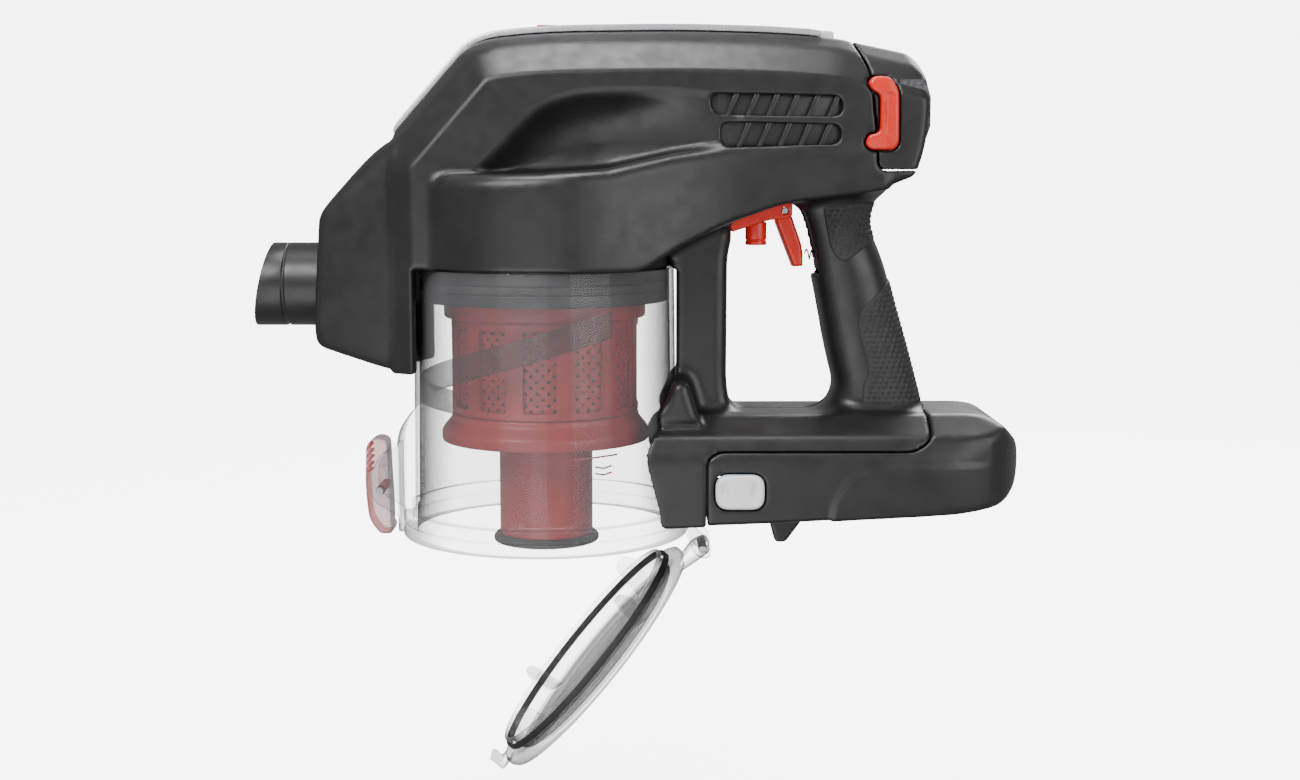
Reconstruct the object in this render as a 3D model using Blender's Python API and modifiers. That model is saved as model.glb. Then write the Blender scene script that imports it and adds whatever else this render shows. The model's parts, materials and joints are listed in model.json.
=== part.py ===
"""Handheld cyclonic vacuum cleaner, modelled as an assembly of separate pieces.

Numbers are millimetres until a helper turns them into Blender's metres. The origin is the centre of the
hand grip. The nozzle points to -X, +Z is up and Y = 0 is the plane between the left (-Y) and right (+Y)
shells. The bin flap stands open on its stop, which is the rest position of its hinge.
"""

import math

import bmesh
import bpy
from mathutils import Matrix, Vector

MM = 0.001
GAP = 0.3  # between pieces that touch
RUNNING_GAP = 0.5  # between pieces that move on each other
WALL = 2.6  # moulded shells
SMOOTH_ANGLE = math.radians(35)

# Dust cup and everything turned about its axis
CUP_FRONT_X = -199.3
CUP_TOP_RADIUS = 57.8
CUP_X = CUP_FRONT_X + CUP_TOP_RADIUS
CUP_TOP_Z = 17.0
CUP_DRAFT = 1.5  # the cup widens this much towards its rim
CUP_RIM_RADIUS = CUP_TOP_RADIUS + CUP_DRAFT
CUP_WALL = 2.2
CUP_FLANGE_RADIUS = CUP_RIM_RADIUS + 5.1
CUP_ROOM = 1.0  # clearance round the cup in the pieces beside it
CUP_FLANGE_Z = -90.0
CUP_RIM_Z = -102.0
PORT_HALF_WIDTH = 12.0
PORT_LOW_Z = -22.0
PORT_HIGH_Z = 1.0

# Housing
DRUM_RADIUS = CUP_TOP_RADIUS + 1.4
DRUM_FLAT_Z = 50.0
DRUM_TOP_Z = 68.0
SPINE_HALF_WIDTH = 38.0
SPINE_CHAMFER = 14.0
SPINE_TOP_EDGE_Z = 70.0  # long edges above this are chamfered
COVER_HALF_WIDTH = 18.0
COVER_THICKNESS = 2.0
TOP_LINE = [
    (-212.4, 71.7), (-173.7, 115.7), (-163.4, 119.5), (-144.0, 121.5), (-125.0, 122.2),
    (-81.0, 122.7), (-38.7, 121.5), (-14.0, 119.5), (-4.6, 116.3),
]
UNDERSIDE = [(7.1, 52.5), (-37.6, 46.5), (-61.0, 38.0), (-79.5, 28.8)]
SEAM = [(2.3, 102.6), (7.1, 66.2), (7.1, 52.5)]
CAP_BACK = [
    (7.7, 52.9), (18.0, 53.8), (23.4, 57.6), (26.6, 67.5), (28.4, 78.3), (28.7, 90.5), (27.3, 98.6),
    (23.2, 105.3), (17.1, 112.7), (-3.9, 115.9),
]

VENT_ROWS = [(-68.0, 83.5, 92.0, 1.0), (-65.5, 70.0, 79.5, 1.2)]  # front X, low Z, high Z, fall to the rear
VENT_COUNT = 6
VENT_PITCH = 9.0
VENT_WIDTH = 6.4
VENT_LEAN = 4.0

# Inlet
TUBE_Z = 9.3
TUBE_RADIUS = 18.5
TUBE_WALL = 2.5
TUBE_END_TOP_X = -262.0
TUBE_END_BOTTOM_X = -270.0

# Motor and fan, about an axis along X
MOTOR_Z = 82.0
MOTOR_RADIUS = 23.0
MOTOR_FRONT_X = -66.0
MOTOR_LENGTH = 42.0
FAN_RADIUS = 26.0
SHAFT_RADIUS = 4.0

# Hand grip frame
HANDLE_HALF_WIDTH = 16.5
STRUT_HALF_WIDTH = 15.0
HANDLE_FRONT = [(-20, -48), (-14, -43), (-12.2, -36), (-16.3, -19.5), (-20.9, 4.5), (-25.7, 26.6),
                (-27.5, 35.6), (-33, 46.5)]
HANDLE_BACK = [(6, 51.8), (3.4, 43.9), (2.5, 37.5), (3.9, 30.2), (9.4, 20), (14, 2.7), (19.5, -15.8),
               (26.8, -42.5), (27.1, -50)]
STRUT = [(-86, 16.8), (-82.6, 16.8), (-79.0, 28.3), (-61, 37.4), (-58.5, 30), (-60.5, 20), (-60.5, -38),
         (-57, -46), (-50, -50), (-86, -50)]
GRIP_PAD_UPPER = [(-19.4, 43.2), (-15.8, 26.6), (-12.6, 21.2), (-8.6, 19.8), (-4.5, 23), (5.2, 30.6),
                  (3.8, 37.2), (4.9, 44.2)]
GRIP_PAD_LOWER = [(11.9, 13.0), (-1.8, -0.9), (-3.2, -6.8), (-1.8, -14), (2.5, -28.8), (-0.5, -34.2),
                  (-0.5, -44), (28.8, -44), (20.7, -15.8), (15.2, 2.7)]
PAD_PROUD = 0.9

# Base and battery
BASE_FRONT_X = -99.0
BASE_TOP_Z = -46.0
BASE_BOTTOM_Z = -94.3
DECK_BOTTOM_Z = -60.3
DECK_REAR_X = 27.1
BLOCK_REAR_X = -70.0
BASE_HALF_WIDTH = 42.0
CELL_RADIUS = 9.2
CELL_LENGTH = 65.0
CELL_PITCH = 18.9
CELL_COUNT = 6
CELL_FIRST_X = -53.5
CELL_Z = -73.0
BUTTON_BOX = [(-66.3, -85.5), (-44.9, -70.1)]

# Cyclone filter
FILTER_FLANGE_RADIUS = CUP_TOP_RADIUS - 12.8
FILTER_NECK_RADIUS = 33.0
SHROUD_RADIUS = CUP_TOP_RADIUS - 16.0
SHROUD_WALL = 2.0
SHROUD_TOP_Z = -5.0
SHROUD_BOTTOM_Z = -44.0
WINDOW_COUNT = 12
WINDOW_DEGREES = 21.0
PLEAT_COUNT = 72
SKIRT_RADIUS = CUP_TOP_RADIUS - 11.3
SKIRT_BOTTOM_Z = -60.0
DUST_TUBE_RADIUS = 21.0
SEAL_RADIUS = 23.8
SEAL_TOP_Z = -103.5
SEAL_BOTTOM_Z = -107.0

# Bin flap, drawn shut and then turned open about its hinge
HINGE_X = CUP_X + CUP_FLANGE_RADIUS + 6.4
HINGE_Z = -109.8
FLAP_OPEN_DEGREES = 50.0
FLAP_RADIUS = CUP_FLANGE_RADIUS - 2.4
FLAP_PLATE_Z = -107.5
FLAP_THICKNESS = 2.1
FLAP_COLLAR_RADIUS = CUP_RIM_RADIUS - CUP_WALL - 1.7
FLAP_COLLAR_TOP_Z = -97.0
FIN_COUNT = 4
PIN_RADIUS = 1.8

# Cup latch
LATCH_X = CUP_X - CUP_FLANGE_RADIUS - 9.7
LATCH_Z = -83.0
LATCH_HALF_WIDTH = 9.0
EAR_THICKNESS = 2.4

# Trigger
TRIGGER_PIVOT = (-35.0, 42.0)
TRIGGER_HALF_WIDTH = 7.0


def clear_scene():
    for leftover in list(bpy.data.objects):
        bpy.data.objects.remove(leftover, do_unlink=True)


def new_collection(name, hidden=False):
    made = bpy.data.collections.new(name)
    bpy.context.scene.collection.children.link(made)
    made.hide_render = hidden
    return made


def plastic(name, colour, roughness, metallic=0.0, alpha=1.0):
    made = bpy.data.materials.new(name)
    made.use_nodes = True
    shader = made.node_tree.nodes["Principled BSDF"]
    shader.inputs["Base Color"].default_value = (*colour, 1.0)
    shader.inputs["Roughness"].default_value = roughness
    shader.inputs["Metallic"].default_value = metallic
    shader.inputs["Alpha"].default_value = alpha
    return made


clear_scene()
PARTS = new_collection("handheld_vacuum")
TOOLS = new_collection("cutters", hidden=True)

CHARCOAL = plastic("charcoal", (0.022, 0.022, 0.024), 0.42)
SILVER = plastic("silver", (0.62, 0.63, 0.65), 0.3, 0.4)
ORANGE_RED = plastic("orange_red", (0.75, 0.06, 0.03), 0.35)
DEEP_RED = plastic("deep_red", (0.32, 0.02, 0.03), 0.4)
CLEAR = plastic("clear", (0.8, 0.83, 0.86), 0.06, alpha=0.3)
CLEAR_RED = plastic("clear_red", (0.6, 0.05, 0.05), 0.1, alpha=0.6)
RUBBER = plastic("rubber", (0.03, 0.03, 0.032), 0.8)
WHITE = plastic("white", (0.85, 0.85, 0.85), 0.25)
STEEL = plastic("steel", (0.6, 0.6, 0.62), 0.3, 1.0)
BOARD = plastic("board", (0.02, 0.14, 0.06), 0.5)
FOAM = plastic("foam", (0.08, 0.08, 0.09), 0.95)
PAPER = plastic("paper", (0.82, 0.8, 0.74), 0.9)
WRAP = plastic("wrap", (0.05, 0.2, 0.5), 0.4)


def place(name, shape, look, at=(0, 0, 0)):
    """Adds a closed bmesh, in millimetres, as a piece, or as a hidden cutter where look is None."""
    bmesh.ops.recalc_face_normals(shape, faces=shape.faces)
    bmesh.ops.scale(shape, vec=(MM, MM, MM), verts=shape.verts)
    mesh = bpy.data.meshes.new(name)
    shape.to_mesh(mesh)
    shape.free()
    made = bpy.data.objects.new(name, mesh)
    made.location = Vector(at) * MM
    if look is None:
        TOOLS.objects.link(made)
        made.hide_render = True
        made.display_type = "WIRE"
    else:
        PARTS.objects.link(made)
        mesh.materials.append(look)
    return made


def signed_area(outline):
    pairs = zip(outline, outline[1:] + outline[:1])
    return sum(a[0] * b[1] - b[0] * a[1] for a, b in pairs) / 2


def offset_line(points, distance):
    """An open line moved to its left by distance, with mitred corners."""
    moved = []
    for i, point in enumerate(points):
        normals = []
        for a, b in ((i - 1, i), (i, i + 1)):
            if a >= 0 and b < len(points):
                run = (Vector(points[b]) - Vector(points[a])).normalized()
                normals.append(Vector((-run.y, run.x)))
        first, last = normals[0], normals[-1]
        step = (first + last) * distance / (1 + first.dot(last))
        moved.append(tuple(Vector(point) + step))
    return moved


def inset(outline, distance):
    """A closed outline with every edge moved inwards by distance."""
    ring = outline if signed_area(outline) > 0 else outline[::-1]
    around = [ring[-1]] + ring + [ring[0]]
    return offset_line(around, distance)[1:-1]


PLANES = {
    "XZ": Matrix(((1, 0, 0), (0, 0, -1), (0, 1, 0))),
    "YZ": Matrix(((0, 0, 1), (1, 0, 0), (0, 1, 0))),
    "XY": Matrix.Identity(3),
}


def prism(name, outline, low, high, look=None, plane="XZ", at=(0, 0, 0)):
    """A flat outline, filled and extruded between two heights across its plane."""
    curve = bpy.data.curves.new(name, "CURVE")
    curve.dimensions = "2D"
    curve.fill_mode = "BOTH"
    curve.extrude = (high - low) / 2
    spline = curve.splines.new("POLY")
    spline.points.add(len(outline) - 1)
    for point, (u, v) in zip(spline.points, outline):
        point.co = (u, v, 0, 1)
    spline.use_cyclic_u = True
    guide = bpy.data.objects.new(name, curve)
    TOOLS.objects.link(guide)
    bpy.context.view_layer.update()
    mesh = bpy.data.meshes.new_from_object(guide.evaluated_get(bpy.context.evaluated_depsgraph_get()))
    bpy.data.objects.remove(guide)
    bpy.data.curves.remove(curve)
    shape = bmesh.new()
    shape.from_mesh(mesh)
    bpy.data.meshes.remove(mesh)
    bmesh.ops.remove_doubles(shape, verts=shape.verts, dist=1e-3)
    bmesh.ops.dissolve_limit(shape, angle_limit=math.radians(0.5), verts=shape.verts, edges=shape.edges)
    middle = (high + low) / 2
    across = -middle if plane == "XZ" else middle
    bmesh.ops.translate(shape, vec=(0, 0, across), verts=shape.verts)
    bmesh.ops.transform(shape, matrix=PLANES[plane].to_4x4(), verts=shape.verts)
    return place(name, shape, look, at)


def turned(name, profile, look=None, at=(0, 0, 0), axis="Z", steps=48):
    """A (radius, height) profile turned about an axis. It closes on itself, or on the axis."""
    ordered = profile if signed_area(profile) < 0 else profile[::-1]
    open_ends = [i for i, (r, _) in enumerate(ordered) if r == 0]
    if len(open_ends) == 2:
        low, high = open_ends
        ordered = ordered[high:] + ordered[: low + 1] if high - low == 1 else ordered[low : high + 1]
    shape = bmesh.new()
    row = [shape.verts.new((r, 0, z)) for r, z in ordered]
    for a, b in zip(row, row[1:]):
        shape.edges.new((a, b))
    if len(open_ends) != 2:
        shape.edges.new((row[-1], row[0]))
    bmesh.ops.spin(
        shape, geom=shape.verts[:] + shape.edges[:], cent=(0, 0, 0), axis=(0, 0, 1),
        angle=2 * math.pi, steps=steps, use_merge=True,
    )
    bmesh.ops.remove_doubles(shape, verts=shape.verts, dist=1e-4)
    if axis == "X":
        bmesh.ops.transform(shape, matrix=PLANES["YZ"].to_4x4(), verts=shape.verts)
    if axis == "Y":
        bmesh.ops.transform(shape, matrix=Matrix.Rotation(-math.pi / 2, 4, "X"), verts=shape.verts)
    return place(name, shape, look, at)


def box(name, low, high, look=None, at=(0, 0, 0)):
    shape = bmesh.new()
    bmesh.ops.create_cube(shape, size=1)
    size = Vector(high) - Vector(low)
    bmesh.ops.scale(shape, vec=size, verts=shape.verts)
    bmesh.ops.translate(shape, vec=(Vector(high) + Vector(low)) / 2, verts=shape.verts)
    return place(name, shape, look, at)


def hull(name, points, look=None, at=(0, 0, 0)):
    shape = bmesh.new()
    for point in points:
        shape.verts.new(point)
    made = bmesh.ops.convex_hull(shape, input=shape.verts)
    spare = [v for v in made["geom_interior"] if isinstance(v, bmesh.types.BMVert)]
    bmesh.ops.delete(shape, geom=spare, context="VERTS")
    return place(name, shape, look, at)


def rod(name, radius, low, high, look=None, at=(0, 0, 0), axis="Y", steps=20):
    return turned(name, [(0, high), (radius, high), (radius, low), (0, low)], look, at, axis, steps)


def boolean(target, operation, others):
    for other in others:
        step = target.modifiers.new(other.name, "BOOLEAN")
        step.operation = operation
        step.object = other
        step.solver = "EXACT"
    return target


def cut(target, *others):
    return boolean(target, "DIFFERENCE", others)


def join(target, *others):
    return boolean(target, "UNION", others)


def keep(target, *others):
    return boolean(target, "INTERSECT", others)


def chamfer(target, width, segments=1, angle=30):
    step = target.modifiers.new("chamfer", "BEVEL")
    step.width = width * MM
    step.segments = segments
    step.limit_method = "ANGLE"
    step.angle_limit = math.radians(angle)
    return target


def mirrored(piece, name):
    """The same piece for the other side of Y = 0."""
    bpy.context.view_layer.update()
    graph = bpy.context.evaluated_depsgraph_get()
    mesh = bpy.data.meshes.new_from_object(piece.evaluated_get(graph))
    mesh.transform(Matrix.Diagonal((1, -1, 1, 1)) @ piece.matrix_world)
    mesh.flip_normals()
    made = bpy.data.objects.new(name, mesh)
    PARTS.objects.link(made)
    return made


def left_half():
    """Everything on the left of the seam between two shells."""
    return box("left_side", (-400, -200, -400), (200, -GAP / 2, 400))


def polar(radius, degrees):
    return radius * math.cos(math.radians(degrees)), radius * math.sin(math.radians(degrees))


def spine_body(name, outline, half_width, look=None):
    """The upper body: its side outline between two walls, with its upper long edges chamfered."""
    body = prism(name, outline, -half_width, half_width, look)
    shape = bmesh.new()
    shape.from_mesh(body.data)
    edges = []
    for edge in shape.edges:
        a, b = (v.co / MM for v in edge.verts)
        middle = (a + b) / 2
        walls = sum(abs(face.normal.y) > 0.9 for face in edge.link_faces)
        if walls == 1 and middle.z > SPINE_TOP_EDGE_Z and middle.x < TOP_LINE[-1][0]:
            edges.append(edge)
    bmesh.ops.bevel(
        shape, geom=edges, offset=SPINE_CHAMFER * MM, offset_type="OFFSET", segments=1,
        affect="EDGES", clamp_overlap=False,
    )
    shape.to_mesh(body.data)
    shape.free()
    return body


def housing_outline():
    top = offset_line(TOP_LINE, -(COVER_THICKNESS + GAP))
    return [(-212.0, 17.3), (-212.0, 60.0)] + top[:-1] + [(-4.6, 113.9)] + SEAM + UNDERSIDE[1:] + [(-83, 17.3)]


def snout_points(shrink):
    sides = [
        (-241.3 + shrink, 24 - shrink, -12 + shrink), (-239.6 + shrink, 22 - shrink, -16.2 + shrink),
        (-236.3 + shrink, 22 - shrink, 41.4 - shrink), (-203.4, 36 - shrink, -27 + shrink),
        (-200.6, 37 - shrink, -27 + shrink), (-200.6, 38 - shrink, 40),
        (-200.6, 30 - shrink, 79 - shrink), (-212.4 + shrink, 26 - shrink, 69.0 - shrink),
    ]
    return [(x, side * y, z) for x, y, z in sides for side in (-1, 1)]


def vent_slots():
    """Two rows of leaning slots through the left wall, beside the motor."""
    slots = []
    outside = -SPINE_HALF_WIDTH - 3
    inside = -SPINE_HALF_WIDTH + WALL + 3
    for row, (front_x, low, high, fall) in enumerate(VENT_ROWS):
        for i in range(VENT_COUNT):
            x = front_x + i * VENT_PITCH
            drop = fall * i / VENT_COUNT
            outline = [
                (x, low - drop), (x + VENT_WIDTH, low - drop),
                (x + VENT_WIDTH + VENT_LEAN, high - drop), (x + VENT_LEAN, high - drop),
            ]
            slots.append(prism(f"slot_{row}_{i}", outline, outside, inside))
    return slots


REAR_LATCH = [(-4.0, 70.5), (-1.5, 68.0), (8.5, 68.0), (10.5, 71.0), (10.2, 93.0), (6.5, 99.0),
              (-1.0, 99.0), (-3.2, 96.0), (-1.4, 93.0), (2.2, 91.0), (2.2, 75.5), (-2.6, 74.5)]


def latch_pocket():
    return prism("latch_pocket", inset(REAR_LATCH, -0.35), -SPINE_HALF_WIDTH - 4, -SPINE_HALF_WIDTH + 8)


def top_button_holes():
    return [
        box("power_button_hole", (-144.4, -5.4, 100), (-124.6, 5.4, 130)),
        box("boost_button_hole", (-30.4, -4.9, 100), (-13.6, 4.9, 130)),
    ]


def build_housing():
    """Left and right shells of the drum, the snout and the spine."""
    outline = housing_outline()
    left = spine_body("housing_left", outline, SPINE_HALF_WIDTH, CHARCOAL)
    low = CUP_TOP_Z + GAP
    drum = [(0, low), (DRUM_RADIUS, low), (DRUM_RADIUS, DRUM_FLAT_Z), (DRUM_RADIUS - 1.8, 59),
            (DRUM_RADIUS - 9.2, DRUM_TOP_Z), (0, DRUM_TOP_Z)]
    inner = DRUM_RADIUS - WALL
    ceiling = DRUM_TOP_Z - WALL
    hollow = [(0, 10), (inner, 10), (inner, DRUM_FLAT_Z), (DRUM_RADIUS - 4.2, 57.4),
              (DRUM_RADIUS - 10.4, ceiling), (0, ceiling)]
    join(left, hull("snout", snout_points(0)), turned("drum", drum, at=(CUP_X, 0, 0)))
    cavity = inset(outline, WALL)
    cut(
        left,
        spine_body("spine_hollow", cavity, SPINE_HALF_WIDTH - WALL),
        hull("snout_hollow", snout_points(3.0)),
        turned("drum_hollow", hollow, at=(CUP_X, 0, 0)),
        box("snout_exit", (-206, -15, -24), (-196, 15, 4)),
        rod("tube_hole", TUBE_RADIUS + GAP, -250, -222, at=(0, 0, TUBE_Z), axis="X", steps=40),
        box("cap_mouth", (-6, -SPINE_HALF_WIDTH + WALL, 58), (20, SPINE_HALF_WIDTH - WALL, 100)),
        *vent_slots(),
        latch_pocket(),
        *top_button_holes(),
    )
    keep(left, left_half())
    mirrored(left, "housing_right")


def build_top_cover():
    top = TOP_LINE[:-1]
    under = offset_line(TOP_LINE, -COVER_THICKNESS)[:-1]
    cover = prism("top_cover", top + under[::-1], -COVER_HALF_WIDTH, COVER_HALF_WIDTH, SILVER)
    cut(cover, *top_button_holes())
    prism("power_button", [(-144, 114.3), (-125, 114.3), (-125.4, 123.3), (-143.6, 122.7)], -5, 5, ORANGE_RED)
    prism("boost_button", [(-30, 112), (-14, 112), (-14.3, 120.3), (-29.7, 121.7)], -4.5, 4.5, WHITE)
    box("control_board", (-150, -24.2, 110.9), (-118, 24.2, 112.5), BOARD)


def build_inlet():
    end = [(TUBE_END_TOP_X, TUBE_Z + TUBE_RADIUS), (TUBE_END_BOTTOM_X, TUBE_Z - TUBE_RADIUS)]
    inner = TUBE_RADIUS - TUBE_WALL
    profile = [(TUBE_RADIUS, -275), (TUBE_RADIUS, -233.5), (TUBE_RADIUS + 2.5, -233.5),
               (TUBE_RADIUS + 2.5, -230.5), (inner, -230.5), (inner, -275)]
    tube = turned("inlet_tube", profile, CHARCOAL, at=(0, 0, TUBE_Z), axis="X", steps=40)
    slope = (end[0][0] - end[1][0]) / (end[0][1] - end[1][1])
    high_x = end[0][0] + slope * 20
    low_x = end[1][0] - slope * 20
    slant = [(high_x, end[0][1] + 20), (low_x, end[1][1] - 20), (-300, end[1][1] - 20), (-300, end[0][1] + 20)]
    cut(tube, prism("tube_end", slant, -30, 30))
    outer = [(-230.2, *polar(inner + TUBE_WALL, a)) for a in range(0, 360, 15)]
    outer = [(x, y, z + TUBE_Z) for x, y, z in outer]
    corners = [(PORT_HALF_WIDTH, PORT_LOW_Z), (PORT_HALF_WIDTH, PORT_HIGH_Z)]
    exit_ring = [(-202.0, s * (y + 2), z + (2 if z > 0 else -1.5)) for y, z in corners for s in (-1, 1)]
    duct = hull("inlet_duct", outer + exit_ring, CHARCOAL)
    bore = [(-231.0, y * 0.86, (z - TUBE_Z) * 0.86 + TUBE_Z) for _, y, z in outer]
    window = [(-201.0, s * y, z) for y, z in corners for s in (-1, 1)]
    cut(duct, hull("duct_bore", bore + window))
    gasket = box("duct_gasket", (-201.7, -PORT_HALF_WIDTH - 2, PORT_LOW_Z - 1.5),
                 (-200.1, PORT_HALF_WIDTH + 2, PORT_HIGH_Z + 2), RUBBER)
    cut(gasket, box("gasket_hole", (-210, -PORT_HALF_WIDTH, PORT_LOW_Z), (-190, PORT_HALF_WIDTH, PORT_HIGH_Z)))


def build_collar():
    """Ceiling of the dust cup: it closes the drum and plugs into the cup."""
    outer = DRUM_RADIUS - WALL - GAP
    plug = CUP_TOP_RADIUS - CUP_WALL - 0.9
    profile = [(20, 22), (outer, 22), (outer, 17.6), (plug, 17.6), (plug, 11.6), (plug - 2, 11.6),
               (plug - 2, 7.4), (plug, 7.4), (plug, 2.3), (plug - 3.4, 2.3), (plug - 3.4, 15), (20, 15)]
    turned("cup_collar", profile, CHARCOAL, at=(CUP_X, 0, 0))
    seal = [(plug - 1.7, 11.3), (plug + 0.5, 11.3), (plug + 0.5, 7.7), (plug - 1.7, 7.7)]
    turned("cup_seal", seal, RUBBER, at=(CUP_X, 0, 0))
    foam = DRUM_RADIUS - 9.2
    turned("pre_motor_filter", [(0, 36), (foam, 36), (foam, 22.3), (0, 22.3)], FOAM, at=(CUP_X, 0, 0))


def underside_z(x):
    """Height of the body's underside at this X."""
    for (x1, z1), (x2, z2) in zip(UNDERSIDE, UNDERSIDE[1:]):
        if x2 <= x <= x1:
            return z1 + (x - x1) * (z2 - z1) / (x2 - x1)
    return UNDERSIDE[0][1]


def build_motor():
    centre = (0, 0, MOTOR_Z)
    rear = MOTOR_FRONT_X + MOTOR_LENGTH
    hole = SHAFT_RADIUS + GAP
    core = 11.5
    can = [(hole, MOTOR_FRONT_X), (MOTOR_RADIUS, MOTOR_FRONT_X), (MOTOR_RADIUS, rear), (hole, rear),
           (hole, rear - 4), (core + RUNNING_GAP, rear - 4), (core + RUNNING_GAP, MOTOR_FRONT_X + 4),
           (hole, MOTOR_FRONT_X + 4)]
    turned("motor_can", can, STEEL, centre, "X", 32)
    shaft = [(0, rear + 4), (SHAFT_RADIUS, rear + 4), (SHAFT_RADIUS, rear - 4.5), (core, rear - 4.5),
             (core, MOTOR_FRONT_X + 4.5), (SHAFT_RADIUS, MOTOR_FRONT_X + 4.5), (SHAFT_RADIUS, MOTOR_FRONT_X - 16),
             (0, MOTOR_FRONT_X - 16)]
    turned("rotor_shaft", shaft, STEEL, centre, "X", 20)
    front = MOTOR_FRONT_X - 15
    hub = [(hole, front), (7, front), (9, front + 7), (FAN_RADIUS, front + 9.5), (FAN_RADIUS, front + 11.5),
           (hole, front + 11.5)]
    fan = turned("fan_impeller", hub, WHITE, centre, "X", 32)
    blades = []
    for i in range(9):
        blade = box(f"blade_{i}", (front + 1, -0.6, 6.5), (front + 10.5, 0.6, FAN_RADIUS))
        blade.location = Vector(centre) * MM
        blade.rotation_euler.x = 2 * math.pi * i / 9
        blades.append(blade)
    join(fan, *blades)
    outer = FAN_RADIUS + 2.6
    shroud = [(14, front - 3), (outer, front - 3), (outer, MOTOR_FRONT_X - 0.3), (outer - 1.8, MOTOR_FRONT_X - 0.3),
              (outer - 1.8, front - 1.2), (14, front - 1.2)]
    turned("fan_shroud", shroud, CHARCOAL, centre, "X", 32)
    back = MOTOR_FRONT_X + 4
    low = underside_z(back) + WALL + 4.3
    wide = SPINE_HALF_WIDTH - WALL - GAP
    flat = wide - 13.9
    plate = [(-wide, low), (wide, low), (wide, 103.2), (flat, 117.0), (-flat, 117.0), (-wide, 103.2)]
    bulkhead = prism("motor_bulkhead", plate, MOTOR_FRONT_X, back, CHARCOAL, "YZ")
    ring = MOTOR_RADIUS + 2.4
    cut(bulkhead, rod("bulkhead_hole", ring, MOTOR_FRONT_X - 10, back + 10, at=centre, axis="X", steps=32))
    mount = [(MOTOR_RADIUS + GAP, MOTOR_FRONT_X), (ring - GAP, MOTOR_FRONT_X), (ring - GAP, back + 6),
             (MOTOR_RADIUS + GAP, back + 6)]
    turned("motor_mount", mount, RUBBER, centre, "X", 32)


def build_rear_cap():
    """Pull-off cap with the exhaust filter and a squeeze latch on each side."""
    outline = [(-3.9, 115.9), (2.8, 102.6), (7.7, 66.2)] + CAP_BACK[:-1]
    cap = prism("rear_cap", outline, -SPINE_HALF_WIDTH, SPINE_HALF_WIDTH, CHARCOAL)
    corner = SPINE_CHAMFER
    top, bottom, wide = 116.5, 50.0, SPINE_HALF_WIDTH
    section = [(-wide, bottom), (wide, bottom), (wide, top - corner - 2), (wide - corner, top), (-wide + corner, top),
               (-wide, top - corner - 2)]
    keep(cap, prism("cap_section", section, -60, 60, plane="YZ"))
    hollow = [(-10, 111.5), (-10, 58), (7.0, 58.0), (20.0, 60.0), (25.6, 78), (25.6, 92), (21, 102),
              (14.8, 109.5), (0, 111.5)]
    inner = wide - WALL
    slope = inner - 12
    shape = [(-inner, bottom), (inner, bottom), (inner, 98.0), (slope, 110.5), (-slope, 110.5), (-inner, 98.0)]
    cavity_section = prism("cap_hollow_section", shape, -60, 60, plane="YZ")
    cavity = keep(prism("cap_hollow", hollow, -inner, inner), cavity_section)
    pocket = latch_pocket()
    other = latch_pocket()
    other.location.y = (2 * SPINE_HALF_WIDTH - 4) * MM
    cut(cap, cavity, pocket, other)
    filter_outline = [(11, 62), (18.5, 62), (24.0, 78), (24.0, 90), (21.8, 97.6), (11, 97.6)]
    prism("exhaust_filter", filter_outline, -inner + 0.4, inner - 0.4, FOAM)
    left = prism("rear_latch_left", REAR_LATCH, -SPINE_HALF_WIDTH - 1.4, -SPINE_HALF_WIDTH + 2.4, ORANGE_RED)
    mirrored(left, "rear_latch_right")


def base_section(name, wide=0.0):
    """Cross-section of the base, with the facets along its upper edges."""
    side = BASE_HALF_WIDTH - wide
    upper = [(side, -64.1), (side - 5, -54.7), (side - 16, BASE_TOP_Z - wide)]
    bottom = -130
    outline = [(side, bottom)] + upper + [(-y, z) for y, z in upper[::-1]] + [(-side, bottom)]
    return prism(name, outline, -200, 200, plane="YZ")


def cup_clearance():
    """Room for the dust cup in the base and in the strut."""
    wall = CUP_RIM_RADIUS + CUP_ROOM
    flange = CUP_FLANGE_RADIUS + CUP_ROOM
    profile = [(0, 40), (wall, 40), (wall, -62), (flange, -88), (flange, -140), (0, -140)]
    return turned("cup_room", profile, at=(CUP_X, 0, 0), steps=64)


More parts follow.
